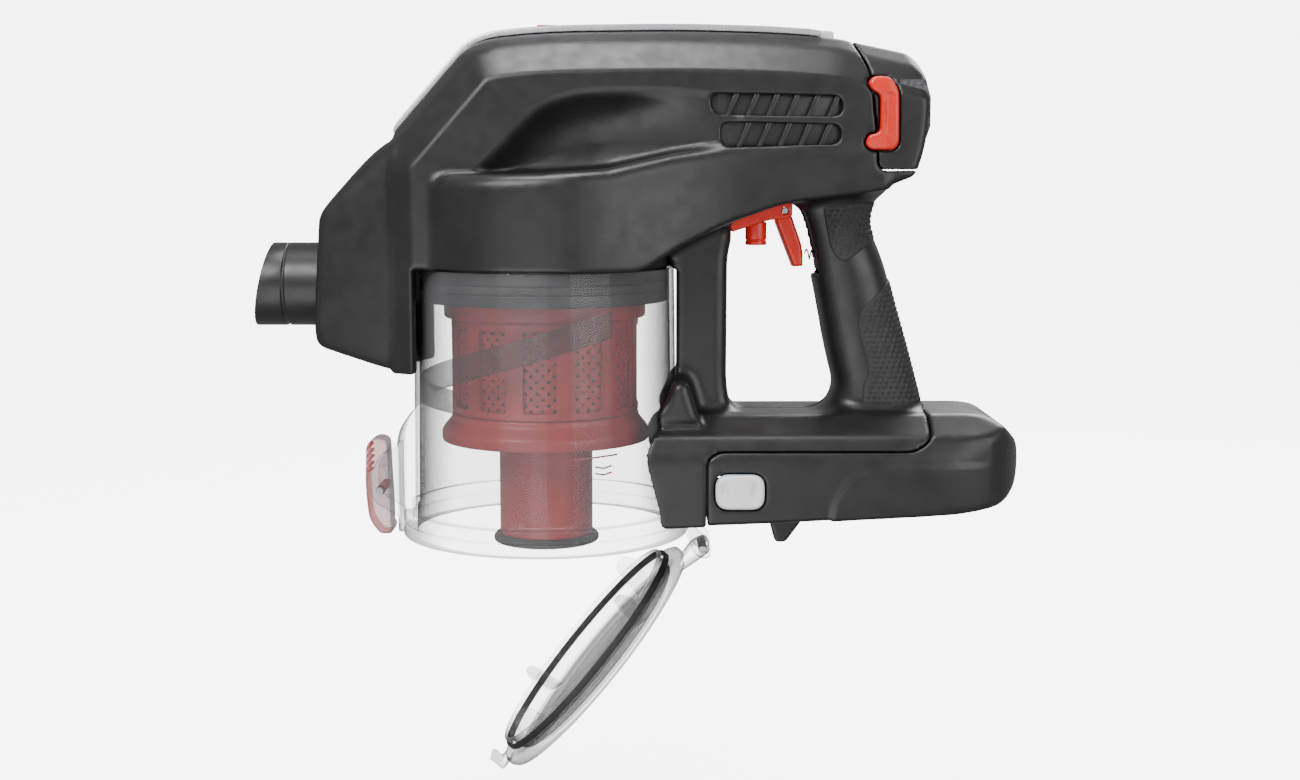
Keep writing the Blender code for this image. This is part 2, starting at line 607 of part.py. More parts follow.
def build_grip_frame():
    """Left and right shells of the strut, the handle and the deck above the battery."""
    deck = [(BASE_FRONT_X, BASE_TOP_Z), (BASE_FRONT_X, BASE_BOTTOM_Z), (BLOCK_REAR_X, BASE_BOTTOM_Z),
            (BLOCK_REAR_X, DECK_BOTTOM_Z), (DECK_REAR_X, DECK_BOTTOM_Z), (DECK_REAR_X, BASE_TOP_Z)]
    handle = HANDLE_FRONT + HANDLE_BACK
    left = prism("grip_frame_left", deck, -60, 60, CHARCOAL)
    keep(left, base_section("deck_section"))
    grip = prism("handle", handle, -HANDLE_HALF_WIDTH, HANDLE_HALF_WIDTH)
    chamfer(grip, 4.0, 1, 60)
    join(left, grip, prism("strut", STRUT, -STRUT_HALF_WIDTH, STRUT_HALF_WIDTH))
    wide = BASE_HALF_WIDTH - 8
    flat = BASE_HALF_WIDTH - 18
    cut(
        left,
        prism("handle_hollow", inset(handle, 3.0), -HANDLE_HALF_WIDTH + 3.4, HANDLE_HALF_WIDTH - 3.4),
        prism("strut_hollow", [(-76, 26), (-64, 33), (-64, -44), (-76, -44)], 4 - STRUT_HALF_WIDTH,
              STRUT_HALF_WIDTH - 4),
        prism("deck_hollow", [(-flat, -48.6), (flat, -48.6), (wide, -56.5), (wide, -64), (-wide, -64), (-wide, -56.5)],
              -66, 24, plane="YZ"),
        box("trigger_slot", (-42, -10, 13.5), (-13, 10, 60)),
        cup_clearance(),
    )
    keep(left, left_half())
    mirrored(left, "grip_frame_right")
    box("battery_contacts", (-64, -15, -60.2), (-52, 15, -48.9), BOARD)
    for name, outline in (("grip_pad_upper", GRIP_PAD_UPPER), ("grip_pad_lower", GRIP_PAD_LOWER)):
        pad = prism(name, outline, -HANDLE_HALF_WIDTH - PAD_PROUD, HANDLE_HALF_WIDTH + PAD_PROUD, RUBBER)
        cut(pad, prism(name + "_seat", inset(handle, -GAP), -HANDLE_HALF_WIDTH - GAP, HANDLE_HALF_WIDTH + GAP))


def spring_line(radius, turns, length, points_per_turn=10):
    count = int(turns * points_per_turn)
    for i in range(count + 1):
        angle = 2 * math.pi * i / points_per_turn
        yield length * i / count, radius * math.cos(angle), radius * math.sin(angle)


def build_trigger():
    x, z = TRIGGER_PIVOT
    plate = [(-59.9, 37.6), (-39.4, 45.0), (-39.2, 42.0), (-42, 38.0), (-58.7, 32.4)]
    carrier = prism("trigger_plate", plate, -9.6, 9.6, ORANGE_RED)
    ear = [(-43, 42.8), (-38, 45.4), (-31.6, 46.4), (-31.6, 38.6), (-43, 38.0)]
    join(carrier, prism("ear_left", ear, -9.6, -7.6), prism("ear_right", ear, 7.6, 9.6))
    hole = rod("trigger_pin_hole", 1.6, -20, 20, at=(x, 0, z))
    cut(carrier, hole, rod("lock_hole", 5.2, -30, 30, at=(-47.2, 0, 36), axis="Z"))
    blade = [(-37.6, 43.5), (-39.3, 38.4), (-31, 16.8), (-26.3, 17.4), (-26.5, 25.7), (-29.6, 33.8),
             (-32.2, 42.0), (-33.5, 44.2)]
    trigger = prism("trigger", blade, -TRIGGER_HALF_WIDTH, TRIGGER_HALF_WIDTH, ORANGE_RED, at=(x, 0, z))
    shift = Matrix.Translation((-x * MM, 0, -z * MM))
    trigger.data.transform(shift)
    cut(trigger, rod("trigger_bore", 1.6, -20, 20, at=(x, 0, z)))
    rod("trigger_pin", 1.3, -9.4, 9.4, STEEL, at=(x, 0, z), steps=12)
    rod("lock_button", 4.75, 26.6, 36.8, ORANGE_RED, at=(-47.2, 0, 0), axis="Z")
    box("microswitch", (-13.8, -3.5, 19), (1.2, 3.5, 28), CHARCOAL)
    curve = bpy.data.curves.new("trigger_spring", "CURVE")
    curve.dimensions = "3D"
    curve.bevel_depth = 0.35 * MM
    curve.bevel_resolution = 1
    curve.use_fill_caps = True
    points = list(spring_line(2.2, 4, 10.5))
    spline = curve.splines.new("POLY")
    spline.points.add(len(points) - 1)
    for point, (along, across, up) in zip(spline.points, points):
        point.co = ((-25.2 + along) * MM, across * MM, (22.5 + up) * MM, 1)
    spring = bpy.data.objects.new("trigger_spring", curve)
    curve.materials.append(STEEL)
    PARTS.objects.link(spring)


def build_battery():
    outline = [(-69.6, -60.9), (27.5, -60.9), (27.5, -46.0), (46, -46.0), (57, -48.5), (65, -55), (69.5, -62),
               (70.4, -70), (67, -79), (58, -85.6), (46, -87.6), (-69.6, -94.0)]
    case = keep(prism("battery_case", outline, -60, 60, CHARCOAL), base_section("case_section"))
    floor = [(-66.9, -60), (24, -60), (24, -64), (30.2, -64), (30.2, -50.0), (45, -50.0), (55, -52), (63, -60),
             (66, -68), (64, -76), (56, -82.6), (45, -83.4), (-66.9, -83.4)]
    wide = BASE_HALF_WIDTH - WALL
    inner = keep(prism("case_hollow", floor, -wide, wide), base_section("hollow_section", 2.8))
    lid_wide = BASE_HALF_WIDTH - 6
    mouth = box("lid_mouth", (-66.9, -lid_wide, -66), (24, lid_wide, -55))
    pocket = []
    for i, low in enumerate((-BASE_HALF_WIDTH - 4, BASE_HALF_WIDTH - 7)):
        pocket.append(prism(f"button_pocket_{i}", inset(pill(), -0.35), low, low + 11))
    cut(case, inner, mouth, *pocket)
    box("battery_lid", (-66.5, -lid_wide + 0.4, -63.3), (23.6, lid_wide - 0.4, -60.9), CHARCOAL)
    for i in range(CELL_COUNT):
        at = (CELL_FIRST_X + i * CELL_PITCH, 0, CELL_Z)
        rod(f"battery_cell_{i + 1}", CELL_RADIUS, -CELL_LENGTH / 2, CELL_LENGTH / 2, WRAP, at, steps=24)
    box("battery_board", (54, -30, -82.4), (55.6, 30, -56.0), BOARD)
    left = prism("release_button_left", pill(), -BASE_HALF_WIDTH - 1.2, -BASE_HALF_WIDTH + 3, WHITE)
    chamfer(left, 0.8, 1, 40)
    mirrored(left, "release_button_right")
    hook = [(-42, -93.0), (-24, -92.0), (-26, -98), (-33.5, -107.5), (-37.5, -107.5), (-40, -99)]
    step = prism("dock_hook", hook, -6, 6, CHARCOAL)
    seat = [(-80, -80), (0, -80), (46, -87.9), (-69.6, -94.3), (-80, -94.9)]
    cut(step, prism("hook_seat", seat, -20, 20))


def pill(corner=5.0, steps=4):
    """Side outline of a battery release button, with round corners."""
    (x1, z1), (x2, z2) = BUTTON_BOX
    outline = []
    for cx, cz, start in ((x2 - corner, z2 - corner, 0), (x1 + corner, z2 - corner, 90),
                          (x1 + corner, z1 + corner, 180), (x2 - corner, z1 + corner, 270)):
        for i in range(steps + 1):
            dx, dz = polar(corner, start + 90 * i / steps)
            outline.append((cx + dx, cz + dz))
    return outline


def build_dust_cup():
    inner_top = CUP_TOP_RADIUS - CUP_WALL
    inner_rim = CUP_RIM_RADIUS - CUP_WALL
    profile = [(inner_top, CUP_TOP_Z), (CUP_TOP_RADIUS, CUP_TOP_Z), (CUP_RIM_RADIUS, CUP_FLANGE_Z + 1),
               (CUP_FLANGE_RADIUS, CUP_FLANGE_Z), (CUP_FLANGE_RADIUS, CUP_RIM_Z), (inner_rim + 1, CUP_RIM_Z),
               (inner_rim, CUP_FLANGE_Z + 2)]
    cup = turned("dust_cup", profile, CLEAR, at=(CUP_X, 0, 0), steps=64)
    pad_x = CUP_X - CUP_FLANGE_RADIUS - 1.2
    pad = [(pad_x, -95), (pad_x, -55), (pad_x + 8, -48), (pad_x + 10, -48), (pad_x + 10, -95)]
    join(cup, prism("latch_pad", pad, -14, 14))
    ear = [(pad_x + 2, -73), (LATCH_X, -79), (LATCH_X - 3.5, -81), (LATCH_X - 3.5, -85), (LATCH_X, -87),
           (pad_x + 2, -94)]
    near = LATCH_HALF_WIDTH + RUNNING_GAP
    for i, low in enumerate((-near - EAR_THICKNESS, near)):
        join(cup, prism(f"latch_ear_{i}", ear, low, low + EAR_THICKNESS))
    lug = [(HINGE_X - 8.2, CUP_RIM_Z + 2), (HINGE_X - 7.5, CUP_RIM_Z + 6), (HINGE_X + 3.5, HINGE_Z + 3),
           (HINGE_X + 3.5, HINGE_Z - 3), (HINGE_X, HINGE_Z - 4), (HINGE_X - 4, HINGE_Z - 2)]
    for i, low in enumerate((-12.0, 8.5)):
        join(cup, prism(f"hinge_lug_{i}", lug, low, low + 3.5))
    inside = [(0, 30), (inner_top, CUP_TOP_Z), (inner_rim, CUP_FLANGE_Z + 2), (inner_rim + 1, CUP_RIM_Z),
              (inner_rim + 1, -140), (0, -140)]
    port_low = (CUP_FRONT_X - 5.7, -PORT_HALF_WIDTH, PORT_LOW_Z)
    port_high = (CUP_FRONT_X + 9.3, PORT_HALF_WIDTH, PORT_HIGH_Z)
    cut(
        cup,
        turned("cup_inside", inside, at=(CUP_X, 0, 0), steps=64),
        box("cup_port", port_low, port_high),
        rod("latch_pin_hole", PIN_RADIUS + GAP, -40, 40, at=(LATCH_X, 0, LATCH_Z)),
        rod("hinge_pin_hole", PIN_RADIUS + GAP, -40, 40, at=(HINGE_X, 0, HINGE_Z)),
    )
    reach = near + EAR_THICKNESS
    rod("latch_pin", PIN_RADIUS, -reach, reach, STEEL, at=(LATCH_X, 0, LATCH_Z), steps=16)
    rod("flap_hinge_pin", PIN_RADIUS, -12, 12, STEEL, at=(HINGE_X, 0, HINGE_Z), steps=16)
    build_vane()


def build_vane(turn=-160.0, start=304.0, steps=28):
    """Helical ramp inside the cup's wall, falling along its left side to below the inlet port."""
    shape = bmesh.new()
    rings = []
    for i in range(steps + 1):
        share = i / steps
        z = 1.0 - 44.0 * share
        x, y = polar(1.0, start + turn * share)
        widening = (CUP_TOP_Z - z) * CUP_DRAFT / (CUP_TOP_Z - CUP_FLANGE_Z - 1)
        wall = CUP_TOP_RADIUS - CUP_WALL - GAP + widening - 0.25
        section = [(wall, z), (wall, z - 11.0), (wall - 6.0, z - 9.0), (wall - 6.0, z - 7.4)]
        rings.append([shape.verts.new((r * x, r * y, h)) for r, h in section])
    for one, two in zip(rings, rings[1:]):
        for i in range(4):
            k = (i + 1) % 4
            shape.faces.new((one[i], one[k], two[k], two[i]))
    shape.faces.new(rings[0])
    shape.faces.new(rings[-1][::-1])
    place("cup_vane", shape, CLEAR_RED, at=(CUP_X, 0, 0))


def build_cyclone():
    axis = (CUP_X, 0, 0)
    inner = SHROUD_RADIUS - SHROUD_WALL
    neck = FILTER_NECK_RADIUS
    bore = neck - 3
    profile = [(bore, 14.6), (neck, 14.6), (neck, 2), (FILTER_FLANGE_RADIUS, 2),
               (FILTER_FLANGE_RADIUS, SHROUD_TOP_Z), (SHROUD_RADIUS, SHROUD_TOP_Z),
               (SHROUD_RADIUS, SHROUD_BOTTOM_Z - 3), (inner, SHROUD_BOTTOM_Z - 3), (inner, SHROUD_TOP_Z + 4.6),
               (bore, SHROUD_TOP_Z + 4.6)]
    shroud = turned("cyclone_shroud", profile, DEEP_RED, axis, steps=60)
    half = inner * math.sin(math.radians(WINDOW_DEGREES / 2))
    for i in range(WINDOW_COUNT // 2):
        window = box(f"window_{i}", (-60, -half, SHROUD_BOTTOM_Z), (60, half, SHROUD_TOP_Z - 2.5))
        window.location = Vector(axis) * MM
        window.rotation_euler.z = 2 * math.pi * i / WINDOW_COUNT
        cut(shroud, window)
    sleeve = inner - GAP
    foot = SHROUD_BOTTOM_Z - 3
    rolled = [(sleeve, -1.0), (sleeve, foot), (sleeve - 0.8, foot), (sleeve - 0.8, -1.0)]
    turned("filter_mesh", rolled, DEEP_RED, axis, steps=60)
    low = foot - GAP
    skirt = [(inner, low), (SHROUD_RADIUS, low), (SKIRT_RADIUS - 1, -54), (SKIRT_RADIUS, -57),
             (SKIRT_RADIUS, SKIRT_BOTTOM_Z), (SKIRT_RADIUS - 2, SKIRT_BOTTOM_Z), (SKIRT_RADIUS - 3, -56),
             (DUST_TUBE_RADIUS, -53.5), (DUST_TUBE_RADIUS - 2, -53.5), (DUST_TUBE_RADIUS - 2, -51.5), (inner, -51)]
    turned("cyclone_skirt", skirt, DEEP_RED, axis, steps=60)
    tube = [(DUST_TUBE_RADIUS, -53.8), (DUST_TUBE_RADIUS, SEAL_TOP_Z + GAP), (DUST_TUBE_RADIUS - 2, SEAL_TOP_Z + GAP),
            (DUST_TUBE_RADIUS - 2, -53.8)]
    turned("dust_tube", tube, DEEP_RED, axis, steps=40)
    seal = [(SEAL_RADIUS, SEAL_TOP_Z), (SEAL_RADIUS, SEAL_BOTTOM_Z), (DUST_TUBE_RADIUS - 3, SEAL_BOTTOM_Z),
            (DUST_TUBE_RADIUS - 3, SEAL_TOP_Z)]
    turned("tube_seal", seal, RUBBER, axis, steps=40)
    pleats = []
    tip = SHROUD_RADIUS - 4.8
    for i in range(PLEAT_COUNT):
        pleats.append(polar(tip if i % 2 else tip - 6.5, i * 360 / PLEAT_COUNT))
    cartridge = prism("filter_cartridge", pleats, -50.6, -1.2, PAPER, "XY", axis)
    cut(cartridge, rod("cartridge_core", tip - 13, -60, 10, at=axis, axis="Z"))


def build_flap():
    """The bin flap, drawn shut about the hinge and hung open on its parent empty."""
    hinge = Vector((HINGE_X, 0, HINGE_Z))
    pivot = bpy.data.objects.new("flap_hinge", None)
    pivot.location = hinge * MM
    pivot.rotation_euler.y = -math.radians(FLAP_OPEN_DEGREES)
    PARTS.objects.link(pivot)
    centre = (CUP_X - HINGE_X, 0, -HINGE_Z)
    low = FLAP_PLATE_Z - FLAP_THICKNESS
    rim_top = CUP_RIM_Z - RUNNING_GAP
    collar = FLAP_COLLAR_RADIUS
    profile = [(0, FLAP_PLATE_Z), (collar - 1.8, FLAP_PLATE_Z), (collar - 1.8, FLAP_COLLAR_TOP_Z),
               (collar, FLAP_COLLAR_TOP_Z), (collar, rim_top), (FLAP_RADIUS, rim_top), (FLAP_RADIUS, -105),
               (FLAP_RADIUS - 2, low), (0, low)]
    flap = turned("cup_flap", profile, CLEAR, centre, steps=64)
    flap.parent = pivot
    barrel = rod("flap_barrel", 4.2, -8.0, 8.0)
    arm = prism("flap_arm", [(-14, 3.2), (-2, 3.6), (3, 1), (0, -3.8), (-14, 0.4)], -8.0, 8.0)
    tip = CUP_X - HINGE_X - FLAP_RADIUS
    rise = -HINGE_Z
    hook = [(tip + 3, -104), (tip + 3, -106.5), (tip - 6.0, -106.5), (tip - 6.0, -99.0), (tip - 4.5, -99.0),
            (tip - 4.5, -104)]
    catch = prism("flap_catch", [(x, z + rise) for x, z in hook], -6, 6)
    blade = [(collar - 15.4, -108.0), (collar - 1, -108.0), (collar - 1, -94), (collar - 5.4, -90.0),
             (collar - 11.4, -92.0)]
    fins = []
    for i in range(FIN_COUNT):
        fin = prism(f"flap_fin_{i}", blade, -0.6, 0.6)
        fin.location = Vector(centre) * MM
        fin.rotation_euler.z = math.radians(45 + 90 * i)
        fins.append(fin)
    for piece in [barrel, arm, catch] + fins:
        piece.parent = pivot
    join(flap, barrel, arm, catch, *fins)
    bore = rod("flap_bore", PIN_RADIUS + GAP, -20, 20)
    bore.parent = pivot
    cut(flap, bore)
    ring = [(collar + GAP, -99.2), (collar + 1.2, -99.2), (collar + 1.2, rim_top + GAP),
            (collar + GAP, rim_top + GAP)]
    seal = turned("flap_seal", ring, RUBBER, centre, steps=64)
    seal.parent = pivot


def build_cup_latch():
    x, z = LATCH_X, LATCH_Z
    outline = [(-6.5, 22), (-1.5, 24), (3.0, 22), (3.6, 5), (4.2, -6), (4.2, -16), (5.2, -17.5), (4.6, -20),
               (-0.5, -20.6), (-5.5, -14), (-7.2, 0)]
    lever = prism("cup_latch", outline, -LATCH_HALF_WIDTH, LATCH_HALF_WIDTH, CLEAR_RED, at=(x, 0, z))
    cut(lever, rod("lever_bore", PIN_RADIUS + GAP, -30, 30, at=(x, 0, z)))


def finish_shading():
    for piece in PARTS.objects:
        if piece.type == "MESH":
            piece.data.shade_smooth()
            piece.data.set_sharp_from_angle(angle=SMOOTH_ANGLE)


build_housing()
build_top_cover()
build_inlet()
build_collar()
build_motor()
build_rear_cap()
build_grip_frame()
build_trigger()
build_battery()
build_dust_cup()
build_cyclone()
build_flap()
build_cup_latch()
finish_shading()
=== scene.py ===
import json
import math

import bmesh
import bpy
import numpy as np
from mathutils import Matrix, Vector


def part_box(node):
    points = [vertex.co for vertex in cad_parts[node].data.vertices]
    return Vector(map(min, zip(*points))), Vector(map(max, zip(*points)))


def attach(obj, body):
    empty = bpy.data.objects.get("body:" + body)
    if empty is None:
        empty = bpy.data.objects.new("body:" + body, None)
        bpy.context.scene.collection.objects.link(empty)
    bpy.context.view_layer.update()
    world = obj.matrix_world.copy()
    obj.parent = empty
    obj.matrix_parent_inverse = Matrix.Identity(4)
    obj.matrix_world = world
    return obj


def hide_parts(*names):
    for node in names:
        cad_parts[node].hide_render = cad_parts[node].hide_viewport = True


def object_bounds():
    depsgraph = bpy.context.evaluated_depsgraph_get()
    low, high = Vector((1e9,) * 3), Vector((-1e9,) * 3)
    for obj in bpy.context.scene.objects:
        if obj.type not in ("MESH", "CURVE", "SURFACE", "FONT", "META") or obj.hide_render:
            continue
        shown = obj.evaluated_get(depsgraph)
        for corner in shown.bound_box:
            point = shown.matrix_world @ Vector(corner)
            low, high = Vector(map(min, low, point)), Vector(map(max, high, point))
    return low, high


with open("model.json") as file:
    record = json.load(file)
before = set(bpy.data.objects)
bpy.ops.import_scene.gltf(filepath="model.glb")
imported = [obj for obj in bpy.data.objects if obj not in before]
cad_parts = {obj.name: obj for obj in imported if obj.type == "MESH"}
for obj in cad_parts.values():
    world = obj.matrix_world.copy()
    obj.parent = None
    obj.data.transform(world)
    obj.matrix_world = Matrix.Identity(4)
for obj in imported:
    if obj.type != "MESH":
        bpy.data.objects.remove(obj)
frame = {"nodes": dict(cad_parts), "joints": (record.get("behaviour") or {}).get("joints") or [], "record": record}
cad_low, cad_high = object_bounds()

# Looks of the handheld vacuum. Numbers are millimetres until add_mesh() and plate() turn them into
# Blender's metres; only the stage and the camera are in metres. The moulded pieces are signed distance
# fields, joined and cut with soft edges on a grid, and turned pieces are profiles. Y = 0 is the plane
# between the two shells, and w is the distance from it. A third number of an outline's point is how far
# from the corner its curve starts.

MM = 0.001
GAP = 0.3
NODES = frame["nodes"]
JOINTS = {joint["name"]: joint for joint in frame["joints"]}


def corners(node):
    low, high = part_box(node)
    return low / MM, high / MM


def anchor(joint):
    return Vector(JOINTS[joint]["pos_m"]) / MM


def radius(node):
    low, high = corners(node)
    return (high.y - low.y) / 2


# Places read from the frame
CUP_X = anchor("filter_twist").x
CUP_TOP_Z = corners("dust_cup")[1].z
CUP_FLANGE_RADIUS = radius("dust_cup")
COLLAR_LOW_Z = corners("cup_collar")[0].z
DRUM_RADIUS = -corners("housing_left")[0].y
TUBE_Z = (corners("inlet_tube")[0].z + corners("inlet_tube")[1].z) / 2
TUBE_END_X = corners("inlet_tube")[0].x
LATCH = anchor("latch_hinge")
HINGE = anchor("flap_hinge")
TRIGGER = anchor("trigger_pull")
FLAP_OPEN = math.radians(JOINTS["flap_hinge"]["range_deg"][1])

# Sizes of the moulded body
WALL = 3.0
CELL = 0.4  # grid of the small moulded pieces
LATCH_ROOM = 0.5
LATCH_POCKET_DEPTH = 30  # all pockets are cut inwards to this distance from Y = 0
SPINE_HALF_WIDTH = 38.0
COVER_HALF_WIDTH = 18.0
COVER_DROP = 3.6  # from the silver cover's top to the body under it
HANDLE_HALF_WIDTH = 16.5
STRUT_HALF_WIDTH = 15.0
TUBE_RADIUS, TUBE_BORE_RADIUS = 18.5, 16.0
TOP_LINE = [(-212.4, 71.7), (-173.7, 115.7), (-163.4, 119.5), (-144.0, 121.5), (-125.0, 122.2),
            (-81.0, 122.7), (-38.7, 121.5), (-14.0, 119.5), (-4.5, 117.4)]
CAP_TOP = [(17.1, 113.4), (60.0, 104.0)]
# Depth below the top against half width: a flat for the cover, two facets and the side wall
SECTION = [(-60, 0), (COVER_HALF_WIDTH + 0.6, 0), (27.5, 5.6), (38.0, 17.5), (38.1, 300)]


# ---- fields


def either(a, b, soft=0.0):
    """Union of two fields, with a fillet where soft is above 0."""
    if not soft:
        return np.minimum(a, b)
    share = np.clip(0.5 + 0.5 * (b - a) / soft, 0, 1)
    return b + (a - b) * share - soft * share * (1 - share)


def both(a, b, soft=0.0):
    """What two fields share, with a rounded edge where soft is above 0."""
    return -either(-a, -b, soft)


def without(a, b, soft=0.0):
    return both(a, -b, soft)


def flat(points, u, v):
    """Signed distance to a closed outline: negative inside."""
    best = np.full(np.broadcast(u, v).shape, 1e9, np.float32)
    inside = np.zeros(best.shape, bool)
    for (u1, v1), (u2, v2) in zip(points, points[1:] + points[:1]):
        run, rise = u2 - u1, v2 - v1
        along = np.clip(((u - u1) * run + (v - v1) * rise) / (run * run + rise * rise), 0, 1)
        best = np.minimum(best, (u - u1 - run * along) ** 2 + (v - v1 - rise * along) ** 2)
        if rise:
            level = (v >= min(v1, v2)) & (v < max(v1, v2))
            inside ^= level & (u < u1 + (v - v1) * run / rise)
    return np.where(inside, -1, 1) * np.sqrt(best)


def eased(points, reach=3.0, steps=6):
    """A closed outline with each corner replaced by a curve that starts this far from it."""
    made = []
    for i, point in enumerate(points):
        here = Vector(point[:2])
        back = Vector(points[i - 1][:2]) - here
        ahead = Vector(points[(i + 1) % len(points)][:2]) - here
        asked = point[2] if len(point) > 2 else reach
        size = min(asked, 0.49 * back.length, 0.49 * ahead.length)
        start, end = here + back.normalized() * size, here + ahead.normalized() * size
        for k in range(steps + 1):
            t = k / steps
            made.append(tuple(start * (1 - t) ** 2 + here * 2 * t * (1 - t) + end * t * t))
    return made


def facets(points, u, v, soft=1.5):
    """A convex shape with flat facets between these points, which run with the inside on their left."""
    field = None
    for (u1, v1), (u2, v2) in zip(points, points[1:]):
        length = math.hypot(u2 - u1, v2 - v1)
        plane = ((v2 - v1) * (u - u1) - (u2 - u1) * (v - v1)) / length
        field = plane if field is None else both(field, plane, soft)
    return field


def slab(value, low, high):
    return np.maximum(low - value, value - high)


def block(x, y, z, low, high, soft=0.0):
    field = both(slab(x, low[0], high[0]), slab(y, low[1], high[1]), soft)
    return both(field, slab(z, low[2], high[2]), soft)


def solid_of_points(points, x, y, z, soft):
    """Field of the convex solid that wraps these points."""
    shape = bmesh.new()
    for point in points:
        shape.verts.new(point)
    bmesh.ops.convex_hull(shape, input=shape.verts)
    bmesh.ops.dissolve_limit(shape, angle_limit=0.02, verts=shape.verts, edges=shape.edges)
    middle = sum((Vector(p) for p in points), Vector()) / len(points)
    field = None
    for face in shape.faces:
        normal, at = face.normal, face.calc_center_median()
        if normal.dot(at - middle) < 0:
            normal = -normal
        plane = (x - at.x) * normal.x + (y - at.y) * normal.y + (z - at.z) * normal.z
        field = plane if field is None else both(field, plane, soft)
    shape.free()
    return field


def grid(low, high, cell):
    """Open coordinate arrays over a box."""
    lines = [np.arange(a, b + cell, cell, dtype=np.float32) for a, b in zip(low, high)]
    return lines[0][:, None, None], lines[1][None, :, None], lines[2][None, None, :]


# ---- meshes


def link(name, data):
    made = bpy.data.objects.new(name, data)
    bpy.context.scene.collection.objects.link(made)
    return made


def crease(mesh, angle):
    """Smooth shading with sharp edges above this angle in degrees."""
    mesh.shade_smooth()
    mesh.set_sharp_from_angle(angle=math.radians(angle))


def add_mesh(name, points, faces, look, sharp=40):
    mesh = bpy.data.meshes.new(name)
    mesh.from_pydata([tuple(p) for p in np.asarray(points) * MM], [], faces)
    mesh.materials.append(look)
    mesh.update()
    crease(mesh, sharp)
    return link(name, mesh)


def grid_about(node, cell, low_room=(1, 1, 1), high_room=(1, 1, 1)):
    """The start of a grid round a CAD node, and its coordinate arrays."""
    low, high = corners(node)
    start = tuple(low - Vector(low_room))
    return start, grid(start, tuple(high + Vector(high_room)), cell)


def skin(name, field, low, cell, look, sharp=180):
    """A closed smooth mesh over the zero surface of a field sampled on a grid."""
    inside = field < 0
    inside[[0, -1]] = inside[:, [0, -1]] = inside[:, :, [0, -1]] = False
    spots = [(i, j, k) for i in (0, 1) for j in (0, 1) for k in (0, 1)]
    nx, ny, nz = (n - 1 for n in field.shape)
    count = sum(inside[i : i + nx, j : j + ny, k : k + nz].astype(np.int8) for i, j, k in spots)
    active = (count > 0) & (count < 8)
    cells = np.argwhere(active)
    number = np.full(active.shape, -1, np.int32)
    number[active] = np.arange(len(cells))
    values = [field[cells[:, 0] + i, cells[:, 1] + j, cells[:, 2] + k] for i, j, k in spots]
    total, hits = np.zeros((len(cells), 3)), np.zeros(len(cells))
    for a, one in enumerate(spots):
        for b, two in enumerate(spots[a + 1 :], a + 1):
            step = np.subtract(two, one)
            if abs(step).sum() == 1:
                crossing = (values[a] < 0) != (values[b] < 0)
                gap = np.where(crossing, values[a] - values[b], 1)
                share = np.where(crossing, values[a] / gap, 0)
                total += (np.array(one) + share[:, None] * step) * crossing[:, None]
                hits += crossing
    points = (cells + total / np.maximum(hits, 1)[:, None]) * cell + np.array(low)
    quads = []
    for axis in range(3):
        u, v = (axis + 1) % 3, (axis + 2) % 3
        lower = np.take(inside, range(inside.shape[axis] - 1), axis)
        upper = np.take(inside, range(1, inside.shape[axis]), axis)
        at = np.argwhere(lower != upper)
        around = []
        for du, dv in ((-1, -1), (0, -1), (0, 0), (-1, 0)):
            spot = at.copy()
            spot[:, u] += du
            spot[:, v] += dv
            around.append(number[tuple(spot.T)])
        quad = np.stack(around, 1)
        quads.append(np.where(lower[tuple(at.T)][:, None], quad, quad[:, ::-1]))
    return add_mesh(name, points, np.concatenate(quads).tolist(), look, sharp)


def mirror(piece, name):
    mesh = piece.data.copy()
    mesh.transform(Matrix.Diagonal((1, -1, 1, 1)))
    mesh.flip_normals()
    return link(name, mesh)


def sweep(name, rings, look, closed=False, sharp=40):
    """A skin over equal rings of points, closed on itself or capped at both ends."""
    size = len(rings[0])
    points = [p for ring in rings for p in ring]
    faces = []
    count = len(rings)
    for i in range(count if closed else count - 1):
        one, two = i * size, (i + 1) % count * size
        faces += [(one + k, one + (k + 1) % size, two + (k + 1) % size, two + k) for k in range(size)]
    if not closed:
        faces += [tuple(range(size))[::-1], tuple(range((count - 1) * size, count * size))]
    made = add_mesh(name, points, faces, look, sharp)
    shape = bmesh.new()
    shape.from_mesh(made.data)
    bmesh.ops.recalc_face_normals(shape, faces=shape.faces)
    shape.to_mesh(made.data)
    shape.free()
    return made


def turned(name, profile, look, axis="Z", at=(0, 0, 0), steps=128, ease=0.4, bend=None):
    """A closed (radius, height) profile, its corners eased, turned about an axis."""
    outline = eased(profile, ease, 3) if ease else profile
    rings = []
    for i in range(steps):
        c, s = math.cos(2 * math.pi * i / steps), math.sin(2 * math.pi * i / steps)
        ring = [(r * c, r * s, h) for r, h in outline]
        if axis == "X":
            ring = [(h, r1, r2) for r1, r2, h in ring]
        ring = [tuple(Vector(p) + Vector(at)) for p in ring]
        rings.append([bend(p) for p in ring] if bend else ring)
    return sweep(name, rings, look, closed=True, sharp=35)


